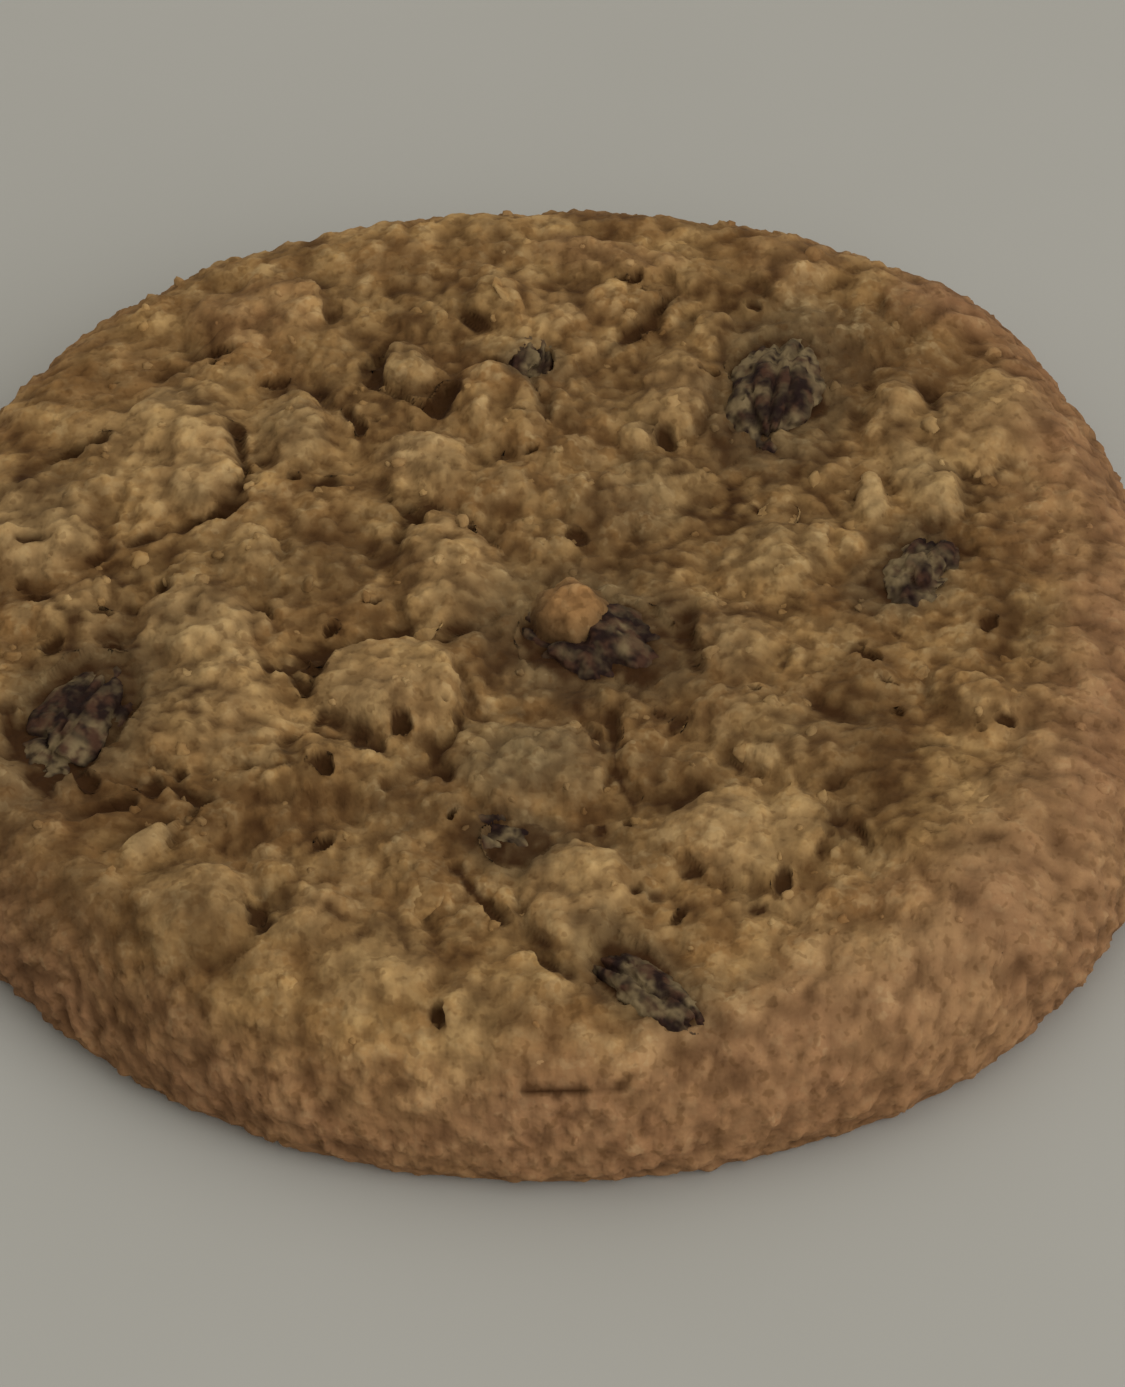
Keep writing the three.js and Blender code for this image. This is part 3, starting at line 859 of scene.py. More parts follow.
@dataclass(frozen=True)
class BakedDough:
    """Oatmeal cookie dough, dropped and baked: dry and matt, ochre-brown, browner on the rim, greyed where
    raisin juice has soaked it. Its crumbs' crowns are paler, partly floury and partly painted light, and it
    carries painted shade between the crumbs, in creases, cracks, pits and grooves, where it lies low, round
    raisins and under crumbs and flakes. Named patches add darker baked tone and painted shade, or floury
    tone and painted light."""

    crumb: str = "#B48F59"
    toasted: str = "#926D40"
    hollow: str = "#6E471F"
    pale: str = "#CAAC78"
    rim: str = "#976E4D"
    shade: str = "#5E4527"
    grey: str = "#6E6146"
    rosy: str = "#B0814E"
    crevice: str = "#331B04"
    bran: str = "#5E3F1C"
    cream: str = "#D2B988"
    patch_mm: float = 6.0
    grain_mm: float = 1.3
    roughness: float = 0.95

    def material(self) -> bpy.types.Material:
        """Builds the material.

        Returns:
            The material. It reads the piece's own masks for crowns, low places of the crumb, pale, shade,
            grey, rosy, toast and crevices. The masks for low places and crevices are painted shade, and
            those for crowns, pale and shade are partly painted light and shade.
        """
        p = Palette("baked_oat_dough")
        colour = p.coat(self.crumb, self.toasted, 0.9, p.patches(self.patch_mm, 0.4, 0.62))
        colour = p.coat(colour, self.toasted, 0.4, p.patches(2.4, 0.47, 0.57, 0.15))
        colour = p.coat(colour, self.bran, 0.3, p.patches(self.grain_mm, 0.5, 0.6, 0.4))
        # Painted shade where the crumb lies low between crowns.
        colour = p.coat(colour, self.hollow, 0.4, "hollow", p.patches(1.8, 0.25, 0.5, 0.6))
        # Paler crowns: partly floury tone, partly painted light on the raised crumb.
        colour = p.coat(colour, self.pale, 0.55, "crown", p.patches(1.3, 0.44, 0.56, 0.9))
        # Pale lumps, and floury patches that are partly painted light.
        colour = p.coat(colour, self.pale, 0.4, "pale")
        # Named patches and valleys: partly darker baked tone, partly painted shade, also round raisins and
        # along the left of the rim.
        colour = p.coat(colour, self.shade, 0.7, "shade", p.patches(2.4, 0.2, 0.5, 0.1))
        colour = p.coat(colour, self.grey, 0.6, "grey")
        colour = p.coat(colour, self.rosy, 0.8, "rosy")
        colour = p.coat(colour, self.rim, 0.75, "toast")
        # Cream flecks on the crowns, partly painted light.
        colour = p.coat(colour, self.cream, 0.25, "crown", p.patches(0.8, 0.55, 0.64, 0.7))
        colour = p.coat(colour, self.bran, 0.35, p.patches(0.8, 0.57, 0.66, 0.3))
        # Painted shade in creases, cracks, pits, grooves, raisin dishes and under crumbs and flakes.
        colour = p.coat(colour, self.crevice, 0.95, "crevice")
        return p.surface(colour, self.roughness, 0.15, (0.9, 0.15), (0.4, 0.07))


@dataclass(frozen=True)
class RaisinSkin:
    """Sun-dried raisin skin: dark purple-brown and dull, smeared with dough in places, with painted shade
    that makes it almost black in its folds."""

    skin: str = "#20120D"
    ruddy: str = "#452D1F"
    film: str = "#7A6849"
    fold_mm: float = 1.2
    roughness: float = 0.75

    def material(self) -> bpy.types.Material:
        """Builds the material.

        Returns:
            The material. It reads the raisin's attributes film and fold, the last of which is painted shade
            in the furrows.
        """
        p = Palette("raisin_skin")
        colour = p.coat(self.skin, self.ruddy, 1.0, p.patches(self.fold_mm, 0.42, 0.65))
        colour = p.coat(colour, self.film, 0.25, p.patches(1.1, 0.45, 0.7, 0.6))
        colour = p.coat(colour, self.film, 0.9, "film", p.patches(0.8, 0.25, 0.6, 0.2))
        # Painted shade in the furrows that the dough film leaves bare.
        colour = p.coat(colour, self.skin, 0.8, "fold")
        return p.surface(colour, self.roughness, 0.1, (0.6, 0.15))


@dataclass(frozen=True)
class TableTop:
    """Pale sealed table top: almost even, with a soft satin finish."""

    colour: str = "#A9A79F"
    cloud: str = "#A19F96"
    roughness: float = 0.6

    def material(self) -> bpy.types.Material:
        """Builds the material."""
        p = Palette("pale_table")
        return p.surface(p.coat(self.colour, self.cloud, 1.0, p.patches(90)), self.roughness, 0.5)


# ----------------------------------------------------------------------------------------------------------
# The cookie
# ----------------------------------------------------------------------------------------------------------


@dataclass(frozen=True)
class Sheet:
    """One of the two closed skins of the dough, which cross each other where neither has an edge: its cells
    across, how far it runs, where it sinks under the other one, from fully sunk to not at all, how deep it
    sinks, and the height of its flat underside, all in millimetres."""

    cells: int
    reach: float
    sinks: Span
    depth: float
    level: float

    def sunk(self, places: np.ndarray) -> np.ndarray:
        """How far the sheet lies under the true skin, in millimetres."""
        return self.depth * (1 - fade(np.hypot(*places.T), *self.sinks))

    def places(self) -> np.ndarray:
        """A square grid carried on to the disc of the skin: each square ring becomes a circle with its
        points spread evenly by angle.

        Returns:
            Places as rows, in the order of the grid.
        """
        side = np.linspace(-1, 1, self.cells + 1)
        a, b = (axis.ravel() for axis in np.meshgrid(side, side, indexing="ij"))
        tall = np.abs(a) > np.abs(b)
        reach = np.where(tall, a, b) * self.reach
        with np.errstate(divide="ignore", invalid="ignore"):
            angle = np.where(tall, np.pi / 4 * b / a, np.pi / 2 - np.pi / 4 * a / b)
        angle = np.nan_to_num(angle)
        return np.stack([reach * np.cos(angle), reach * np.sin(angle)], axis=1)

    def triangles(self) -> np.ndarray:
        """Two triangles for each cell of the grid, split across alternate diagonals.

        Returns:
            Triangles that face up.
        """
        row = self.cells + 1
        run = np.arange(self.cells)
        i, j = (axis.ravel() for axis in np.meshgrid(run, run, indexing="ij"))
        a, b, c, d = i * row + j, (i + 1) * row + j, (i + 1) * row + j + 1, i * row + j + 1
        even = ((i + j) % 2 == 0)[:, None]
        first = np.where(even, np.stack([a, b, c], 1), np.stack([a, b, d], 1))
        second = np.where(even, np.stack([a, c, d], 1), np.stack([b, c, d], 1))
        return np.concatenate([first, second])

    def border(self) -> np.ndarray:
        """The grid's border.

        Returns:
            Numbers of its points, counter-clockwise seen from above.
        """
        row, cells = self.cells + 1, self.cells
        run = np.arange(cells)
        return np.concatenate([run * row, cells * row + run, (cells - run) * row + cells, cells - run])


@dataclass
class Dough:
    """The baked dough: the body's skin with its crags, cracks, pits and crumb. A base carries the rim and
    the underside, and a crust with finer triangles carries the top. Sizes are in millimetres, and an edge
    is the noise that frays an outline."""

    body: DoughBody = field(default_factory=DoughBody)
    base: Sheet = Sheet(cells=288, reach=DoughBody().skin_reach, sinks=(28.5, 32.5), depth=1.6, level=0.0)
    crust: Sheet = Sheet(cells=300, reach=34.8, sinks=(34.4, 32.0), depth=1.6, level=4.0)
    crust_shows_to: float = 32.2
    rim_shows_to: float = 46.0

    # Lumps, with the lifts between which a valley ends, and packed cobbles over all, in two widths.
    lump_edge: Layers = ((0.24, 4, 21), (0.12, 1.6, 22))
    valley_lift: Span = (0.05, 0.6)
    cobbles: Layers = ((0.7, 6.4, 3), (0.5, 3.9, 11))
    cobble_steepness: float = 0.8
    broad_swell: Layers = ((0.4, 17, 5),)

    # Grooves round the lumps, which fade out between two distances along the skin, and cracks.
    groove_width: float = 0.5
    groove_depth: float = 0.45
    groove_ends: Span = (33.0, 37.0)
    crack_half_width: float = 0.65
    crack_depth: float = 1.0
    crack_edge: Layers = ((0.5, 2.2, 31), (0.4, 0.8, 32))

    # Pits: a named one's half sizes as shares of its radius and its turn in degrees for each millimetre of
    # it, and a seeded one's half length and how wide it is as a share of that.
    pit_depth: float = 0.7
    pit_edge: Layers = ((0.6, 0.9, 63), (0.5, 1.6, 65))
    pit_halves: tuple[float, float] = (1.1, 0.6)
    pit_turn: float = 400.0
    loose_pits: int = 36
    loose_pit_seed: int = 4
    loose_pit_length: Span = (0.3, 0.8)
    loose_pit_slimness: Span = (0.25, 0.6)
    loose_pit_reach: float = 34.0

    # The dish at a raisin, with its depth under the raisin's top.
    raisin_edge: Layers = ((0.35, 2.1, 61), (0.15, 0.9, 62))
    dish_depth: float = 2.2

    # Distances along the skin where the relief calms down to the rim's share and where the crumb turns
    # sandy, and distances from the end of the skin where the relief and the crumb fade out.
    rim_calm: Span = (35.0, 44.0)
    rim_share: float = 0.3
    sandy_rim: Span = (36.5, 43.5)
    foot_fade: float = 3.2
    foot_crumb_fade: Span = (2.2, 0.3)

    # How far from the middle a change towards one side starts and is complete, and the shares of the
    # crumb's depth that are lost towards the front right, on raisins and on flakes.
    side_span: Span = (0.0, 35.0)
    settled_loss: float = 0.1
    bare_loss: float = 0.4
    flake_loss: float = 0.15

    # Ragged edges of the named patches of shade, and painted shade where the dough lies low on the top,
    # round raisins, where their juice also greys it, and in grooves.
    shade_edge: Layers = ((0.35, 3, 71), (0.25, 1.2, 72))
    valley_shade: float = 0.45
    valley_shade_ends: Span = (31.0, 37.0)
    soak_and_shade_share: float = 0.6
    groove_shade: float = 0.6

    # The browned rim: how much further in it starts towards the right and how much further out all round,
    # and the distances along the skin where it and its patches set in.
    toast_spread: float = 6.0
    toast_outset: float = 1.5
    toast_span: Span = (35.0, 44.0)
    toast_patch_span: Span = (30.0, 38.0)
    toast_patches: Layers = ((0.25, 5, 101),)

    # Rings of the underside as shares of the border's, and half the height of its unevenness.
    underside_rings: tuple[float, ...] = (0.985, 0.95, 0.88, 0.7, 0.45, 0.2)
    underside_relief: float = 0.06

    def crack(self, places: np.ndarray) -> np.ndarray:
        """A V around the nearest stretch of a crack, of uneven width and shallower along parts of the run.

        Args:
            places: Places on the skin as rows.

        Returns:
            How deep each place lies in a crack, from 0 to 1.
        """
        nearest = np.full(len(places), np.inf)
        for run in CRACKS:
            for start, end in zip(run[:-1], run[1:]):
                start, stretch = np.array(start, float), np.subtract(end, start)
                share = np.clip((places - start) @ stretch / (stretch @ stretch), 0, 1)
                nearest = np.minimum(nearest, np.hypot(*(places - start - share[:, None] * stretch).T))
        width = self.crack_half_width * uneven(places, 1, self.crack_edge)
        return np.maximum(0, 1 - nearest / width) * (0.3 + 0.7 * fade(noise(places, 3, 33), -0.5, 0.3))

    def pit(self, places: np.ndarray) -> np.ndarray:
        """A ragged oval at each named pit, at the slit in the rim and at many short slits at seeded places:
        1 in the middle, falling as e to the power of minus the distance to the fourth. A named pit's turn
        is worked out from its radius, so that no two sizes lie alike.

        Args:
            places: Places on the skin as rows.

        Returns:
            How deep each place lies in a pit, from 0 to 1.
        """
        draw = np.random.default_rng(self.loose_pit_seed)
        turn = draw.uniform(0, 2 * np.pi, self.loose_pits)
        reach = self.loose_pit_reach * np.sqrt(draw.random(self.loose_pits))
        long = draw.uniform(*self.loose_pit_length, self.loose_pits)
        wide = long * draw.uniform(*self.loose_pit_slimness, self.loose_pits)
        lie = draw.uniform(0, 180, self.loose_pits)
        loose = np.stack([reach * np.cos(turn), reach * np.sin(turn), long, wide, lie], axis=1)
        along, across = self.pit_halves
        named = [(x, y, along * radius, across * radius, self.pit_turn * radius) for x, y, radius in PITS]
        ragged = uneven(places, 1.1, self.pit_edge)
        deepest = np.zeros(len(places))
        for x, y, long_half, wide_half, degrees in np.concatenate([named, loose, [RIM_SLIT]]):
            close = np.hypot(*(places - (x, y)).T) < 3 * long_half
            oval = Lump(x, y, long_half, wide_half, degrees, 0)
            distance = oval.within(places[close])[0] * ragged[close]
            deepest[close] = np.maximum(deepest[close], np.exp(-(distance**4)))
        return deepest

    def shade(self, places: np.ndarray) -> np.ndarray:
        """A bell around each named patch of shade, with a ragged edge.

        Args:
            places: Places on the skin as rows.

        Returns:
            How much darker each place is, partly darker baked tone and partly painted shade, and how much
            paler below 0, partly floury tone and partly painted light.
        """
        ragged = uneven(places, 1, self.shade_edge)
        total = np.zeros(len(places))
        for x, y, long, wide, turn, strength in SHADES:
            distance = Lump(x, y, long, wide, turn, 0).within(places)[0] * ragged
            total += strength * np.exp(-(distance**2))
        return total

    def lumps(
        self, places: np.ndarray, unevenness: np.ndarray
    ) -> tuple[np.ndarray, np.ndarray, np.ndarray]:
        """The highest crag or flake at each place, and the groove round its foot: a bell across its
        outline, cut off in places and towards the rim.

        Args:
            places: Places on the skin as rows.
            unevenness: How much further out each place counts as being, as a share of its distance.

        Returns:
            Heights in millimetres, how deep each place lies in a groove from 0 to 1, and the shares of the
            tones as three rows.
        """
        lift, groove = np.zeros(len(places)), np.zeros(len(places))
        tones = np.zeros((3, len(places)))
        for lump in CRAGS + FLAKES:
            height, presence = lump.shape(places, unevenness)
            past = (lump.within(places)[0] * (1 + unevenness) - 1.0) * min(lump.long, lump.wide)
            groove = np.maximum(groove, np.exp(-((past / self.groove_width) ** 2)) * (height >= lift))
            tones = np.where(height > lift, np.outer(lump.tone.value, presence), tones)
            lift = np.maximum(lift, height)
        inner = 1 - fade(np.hypot(*places.T), *self.groove_ends)
        return lift, groove * (fade(noise(places, 3, 64), -0.2, 0.5) * inner), tones

    def relief(self, places: np.ndarray) -> dict[str, np.ndarray]:
        """The large relief: the highest lump at each place, cobbles on top, less the cracks and pits,
        cleared to a dish at each raisin, and calmer towards the rim.

        Args:
            places: Places on the skin as rows.

        Returns:
            The lift over the plain body, the masks pale, grey, rosy and shade, how open a place is to a
            raisin, how deep it lies in a crack or pit, and where a flake makes it smoother.
        """
        reach = np.hypot(*places.T)
        unevenness = uneven(places, 0, self.lump_edge)
        lift, groove, tones = self.lumps(places, unevenness)
        valley = 1 - fade(lift, *self.valley_lift)
        for rise, size, salt in self.cobbles:
            lift += rise * grains(places, size, salt, self.cobble_steepness)
        crack, pit = self.crack(places), self.pit(places)
        swell = uneven(places, 0, self.broad_swell)
        lift += swell - self.crack_depth * crack - self.pit_depth * pit - self.groove_depth * groove
        ragged = np.maximum(0, uneven(places, 0.04, self.raisin_edge))
        bare, soaked = np.zeros(len(places)), np.zeros(len(places))
        for raisin in RAISINS:
            opening, near = raisin.opening(places, ragged)
            lift += opening * (np.minimum(lift, raisin.proud - self.dish_depth) - lift)
            bare = np.maximum(bare, opening)
            soaked = np.maximum(soaked, near)
        height, presence = CAP_LUMP.shape(places, unevenness)
        tones = np.where(height > lift, np.outer(CAP_LUMP.tone.value, presence), tones)
        bare *= 1 - presence
        lift = np.maximum(lift, height)
        calm = 1 - (1 - self.rim_share) * fade(reach, *self.rim_calm)
        lift *= calm * (1 - fade(reach, self.body.skin_reach - self.foot_fade, self.body.skin_reach))
        pale, grey, rosy = tones
        flake = np.zeros(len(places))
        for lump in FLAKES:
            flake = np.maximum(flake, fade(1.1 - lump.within(places)[0], 0, 0.25))
        # Painted shade in the valleys between lumps, fading out towards the rim.
        low = self.valley_shade * valley * (1 - fade(reach, *self.valley_shade_ends))
        return {
            "lift": lift,
            "pale": pale,
            "grey": np.maximum(grey, self.soak_and_shade_share * soaked),
            "rosy": rosy,
            "bare": bare,
            # Cracks, pits and grooves, which the finish paints as shade.
            "crack": np.maximum(np.maximum(crack, pit), self.groove_shade * groove),
            "flake": flake,
            # Named patches, valley shade, and painted shade round raisins, whose juice also soaks the dough.
            "shade": self.shade(places) + low + self.soak_and_shade_share * soaked,
        }

    def toast(self, points: np.ndarray, reach: np.ndarray) -> np.ndarray:
        """How brown the crust has baked: more on the rim than on the top, further in towards the right,
        with patches along its inner edge.

        Args:
            points: Points in space as rows.
            reach: Their distances along the skin.

        Returns:
            One share for each point, which the patches may take below 0 or over 1.
        """
        right = fade(points @ (1, -0.35, 0), *self.side_span)
        start = reach - self.toast_outset + self.toast_spread * right
        patches = uneven(points, 0, self.toast_patches)
        return fade(start, *self.toast_span) + patches * fade(start, *self.toast_patch_span)

    def closing(self, points: np.ndarray, border: np.ndarray, level: float) -> tuple[np.ndarray, np.ndarray]:
        """The flat underside of a sheet: its border's ring drawn in ring by ring to the middle, slightly
        uneven.

        Args:
            points: Points of the sheet.
            border: Numbers of its border points, in order.
            level: Height of the underside.

        Returns:
            The new points, and triangles that face down and join them to the border.
        """
        rings = np.concatenate([points[border] * (share, share, 0) for share in self.underside_rings])
        rings[:, 2] = level + self.underside_relief * (1 + noise(rings[:, :2], 3, 91))
        added = np.concatenate([rings, [[0, 0, level]]])
        numbers = np.concatenate([border, len(points) + np.arange(len(added))])
        # A ball whose first ring is the border and whose upper cap is left out.
        lower_half = ball_triangles(len(border), len(self.underside_rings) + 1)[len(border) :]
        return added, numbers[lower_half - 1]

    def surface(self, sheet: Sheet) -> Surface:
        """A sheet of skin: large relief along the body's normals, then layers of crumb in space along the
        normals of what is under them, so that they also stand out of steep sides. The crumb is shallower at
        the foot, where the dough has settled towards the front right, on raisins and on flakes.

        Args:
            sheet: The sheet to make.

        Returns:
            The closed surface with its masks, of which reach and bare serve to seat small things on it.
        """
        places = sheet.places()
        relief = self.relief(places)
        points = self.body.lifted(places, relief["lift"] - sheet.sunk(places))
        border = sheet.border()
        points[border, 2] = sheet.level
        below, below_triangles = self.closing(points, border, sheet.level)
        triangles = np.concatenate([sheet.triangles(), below_triangles])
        surface = Surface(np.concatenate([points, below]), triangles)

        foot = self.body.skin_reach
        reach = np.concatenate([np.hypot(*places.T), np.full(len(below), foot)])
        spread = {key: np.concatenate([value, np.zeros(len(below))]) for key, value in relief.items()}
        rim = fade(reach, *self.sandy_rim)
        share = 1 - fade(reach, foot - self.foot_crumb_fade[0], foot - self.foot_crumb_fade[1])
        share *= 1 - self.settled_loss * fade(surface.points @ (1, -0.9, 0), *self.side_span)
        share *= 1 - self.bare_loss * spread["bare"]
        share *= 1 - self.flake_loss * spread["flake"]
        pushed, crease = crumble(surface, rim, share)
        surface.points[:, 2] = np.maximum(surface.points[:, 2], 0)
        pushed, crease = surface.smoothed(pushed), surface.smoothed(crease)
        surface.values = self.masks(spread, rim, pushed, crease, self.toast(surface.points, reach))
        surface.values["reach"] = reach
        return surface

    def masks(
        self,
        relief: dict[str, np.ndarray],
        rim: np.ndarray,
        pushed: np.ndarray,
        crease: np.ndarray,
        toast: np.ndarray,
    ) -> dict[str, np.ndarray]:
        """Crumb that stands out is a paler crown, partly painted light, and crumb that lies in gets painted
        shade, both less so on the rim. Floury patches, partly painted light, join the pale lumps, and brown
        lumps join the toast. Creases, cracks, pits, grooves and the dough at each raisin get painted shade.

        Args:
            relief: What the large relief returns, for each point.
            rim: 1 where the crust is sandy and 0 on the craggy top.
            pushed: How far the crumb was pushed out, in millimetres.
            crease: How deep each point lies in a crease of the crumb.
            toast: How brown the crust has baked.

        Returns:
            Each mask from 0 to 1.
        """
        even = 1 - 0.3 * rim
        # Painted shade in creases, cracks, pits and grooves, and on the dough in each raisin's dish.
        crevice = 0.9 * crease + 0.9 * relief["crack"] + 0.7 * relief["bare"]
        return {
            "crown": np.clip(0.4 + 1.3 * pushed, 0, 1) * even,
            "hollow": np.clip(0.35 - 1.5 * pushed, 0, 1) * even,
            "pale": np.clip(relief["pale"] - np.minimum(relief["shade"], 0), 0, 1),
            "shade": np.clip(relief["shade"], 0, 1),
            "grey": np.clip(relief["grey"], 0, 1),
            "rosy": relief["rosy"],
            "toast": np.clip(toast - 0.5 * np.minimum(relief["pale"], 0), 0, 1),
            "crevice": np.clip(crevice, 0, 1),
            "bare": relief["bare"],
        }


@dataclass
class Ground:
    """What small things sit on: the points of both sheets where each is the one that shows."""

    points: np.ndarray
    normals: np.ndarray
    values: dict[str, np.ndarray]

    @classmethod
    def of(cls, crust: Surface, base: Surface, dough: Dough) -> "Ground":
        """Collects the crust inside the line where it shows and the base from there down to the foot.

        Args:
            crust: The fine skin of the top.
            base: The skin of the rim.
            dough: The dough they belong to, which gives the lines.

        Returns:
            The ground.
        """
        inner, outer = (surface.values["reach"] for surface in (crust, base))
        on_rim = (outer > dough.crust_shows_to) & (outer < dough.rim_shows_to)
        parts = ((crust, inner < dough.crust_shows_to), (base, on_rim))
        return cls(
            np.concatenate([surface.points[keep] for surface, keep in parts]),
            np.concatenate([surface.normals()[keep] for surface, keep in parts]),
            {key: np.concatenate([part.values[key][keep] for part, keep in parts]) for key in crust.values},
        )

    def seats(self, weight: np.ndarray, count: int, draw: np.random.Generator) -> np.ndarray:
        """Draws the numbers of places by weight, without repeats."""
        return draw.choice(len(weight), count, replace=False, p=weight / weight.sum())


@dataclass
class Crumbs:
    """Loose grains of dough that are baked on to the top: small uneven balls, sunk into the surface. Sizes
    are in millimetres. The rim and the raisins carry fewer of them than the top."""

    count: int = 220
    seed: int = 7
    half_size: Span = (0.25, 0.6)
    smallness: float = 2.2
    stretch: Span = (0.7, 1.25)
    wobble: float = 0.5
    sunk_share: float = 0.5
    top_reach: float = 40.0
    rim_share: float = 0.25
    raisin_loss: float = 0.8
    paler: Span = (-0.3, 0.5)
    around: int = 8
    rings: int = 5

    def surface(self, ground: Ground) -> Surface:
        """Balls whose radius swells and shrinks by noise, each turned on to the normal where it sits. Their
        sizes are a random share to a power, so most are small. They are painted darker underneath, as shade
        under each crumb.

        Args:
            ground: The dough they sit on.

        Returns:
            All crumbs as one surface, each with the masks of the dough under it.
        """
        draw = np.random.default_rng(self.seed)
        weight = np.where(ground.values["reach"] < self.top_reach, 1.0, self.rim_share)
        seats = ground.seats(weight * (1 - self.raisin_loss * ground.values["bare"]), self.count, draw)
        ball = ball_points(self.around, self.rings)
        low, high = self.half_size
        size = low + (high - low) * draw.random(self.count) ** self.smallness
        stretch = size[:, None] * draw.uniform(*self.stretch, (self.count, 3))
        own = (ball[None] * 1.4 + 9.7 * np.arange(self.count)[:, None, None]).reshape(-1, 3)
        wobble = noise(own, 1.0, 5).reshape(self.count, -1, 1)
        local = ball[None] * stretch[:, None] * (1 + self.wobble * wobble)
        normals = ground.normals[seats]
        frames = standing_frames(normals, draw.uniform(0, 2 * np.pi, self.count))
        centres = ground.points[seats] - self.sunk_share * size[:, None] * normals
        surface = planted(local, frames, centres, ball_triangles(self.around, self.rings))
        values = {key: np.repeat(value[seats], len(ball)) for key, value in ground.values.items()}
        paler = np.repeat(draw.uniform(*self.paler, self.count), len(ball))
        values["pale"] = np.clip(values["pale"] + paler, 0, 1)
        # Painted shade on each crumb's underside.
        underneath = np.tile(fade(-ball[:, 2], -0.1, 0.7), self.count)
        values["crevice"] = 0.3 * values["crevice"] + 0.5 * underneath
        surface.values = values
        return surface


@dataclass
class OatFlakes:
    """Rolled oats: thin oval flakes, bent and creased, bedded flat or at a slant in the dough. Sizes are in
    millimetres. A bend is a flake's rise for each squared millimetre from its middle, the slant is the
    spread of its normal, and the uprightness pulls that back to the vertical."""

    scattered: int = 7
    seed: int = 19
    reach: float = 34.0
    half_length: Span = (1.2, 2.6)
    slimness: Span = (0.5, 0.8)
    thickness: float = 0.55
    sunk: float = 0.4
    slant: float = 0.22
    uprightness: float = 0.9
    raggedness: float = 0.22
    bend_along: Span = (-0.05, 0.09)
    bend_across: Span = (-0.08, 0.12)
    crease_depth: float = 0.14
    crease_share: float = 0.16
    crumple: float = 0.12
    coat: float = 0.8
    around: int = 20
    ring_shares: tuple[float, ...] = (0.35, 0.7, 0.92)

    def sheet(self) -> tuple[np.ndarray, np.ndarray]:
        """A unit flake: rings on its upper face, its edge, and the same rings on its lower face.

        Returns:
            Points as (ring share times direction, side) with side from 1 on top to -1 below, and triangles.
        """
        turn = 2 * np.pi * np.arange(self.around) / self.around
        shares = (*self.ring_shares, 1.0, *self.ring_shares[::-1])
        count = len(self.ring_shares)
        sides = (*[1.0] * count, 0.0, *[-1.0] * count)
        ring = np.stack([np.cos(turn), np.sin(turn), np.ones(self.around)], axis=1)
        rings = [ring * (share, share, side) for share, side in zip(shares, sides)]
        points = np.concatenate([[[0, 0, 1]], *rings, [[0, 0, -1]]])
        return points, ball_triangles(self.around, 2 * count + 1)

    def surface(self, ground: Ground) -> Surface:
        """Flakes with an uneven oval outline, a bend across, a crease along the middle and rounded edges.

        Args:
            ground: The dough they lie on.

        Returns:
            All flakes as one surface, each with the masks of the dough under it.
        """
        draw = np.random.default_rng(self.seed)
        count = self.scattered
        reach, bare, rosy, pale = (ground.values[key] for key in ("reach", "bare", "rosy", "pale"))
        weight = (reach < self.reach) * (1 - bare) * (rosy == 0) * (pale < 0.3)
        seats = ground.seats(weight, count, draw)
        half_long = draw.uniform(*self.half_length, count)
        half_wide = half_long * draw.uniform(*self.slimness, count)
        leaning = ground.normals[seats] + self.uprightness * np.array([0, 0, 1])
        normals = unit(leaning + draw.normal(0, self.slant, (count, 3)))
        turns = draw.uniform(0, 2 * np.pi, count)
        centres = ground.points[seats] - self.sunk * normals

        disc, triangles = self.sheet()
        u, v, side = disc.T
        seeds = 5.3 * np.arange(count)[:, None]
        rim_places = np.stack(np.broadcast_arrays(1.1 * u + seeds, 1.1 * v, 0 * u + 0.5), -1).reshape(-1, 3)
        ragged = 1 + self.raggedness * noise(rim_places, 0.8, 3).reshape(count, -1)
        x = u * ragged * half_long[:, None]
        y = v * ragged * half_wide[:, None]
        share = np.hypot(u, v)
        along = draw.uniform(*self.bend_along, count)[:, None] * x**2
        bend = along + draw.uniform(*self.bend_across, count)[:, None] * y**2
        crease = -self.crease_depth * np.exp(-((v / self.crease_share) ** 2)) * (side > 0)
        crumple = self.crumple * noise(rim_places * (3, 3, 1), 1.0, 8).reshape(count, -1)
        thick = 0.5 * self.thickness * side * np.sqrt(np.maximum(0, 1 - 0.75 * share**4))
        local = np.stack([x, y, thick + bend + crease + crumple], axis=-1)
        surface = planted(local, standing_frames(normals, turns), centres, triangles)
        crumble(surface, np.zeros(len(surface.points)), np.full(len(surface.points), self.coat))
        values = {key: np.repeat(value[seats], len(disc)) for key, value in ground.values.items()}
        values["crown"] = np.tile(0.1 + 0.35 * fade(share, 0.5, 1.0), count)
        # Painted shade on each flake's underside.
        values["crevice"] = 0.2 * values["crevice"] + 0.4 * np.tile(side < 0, count)
        surface.values = values
        return surface


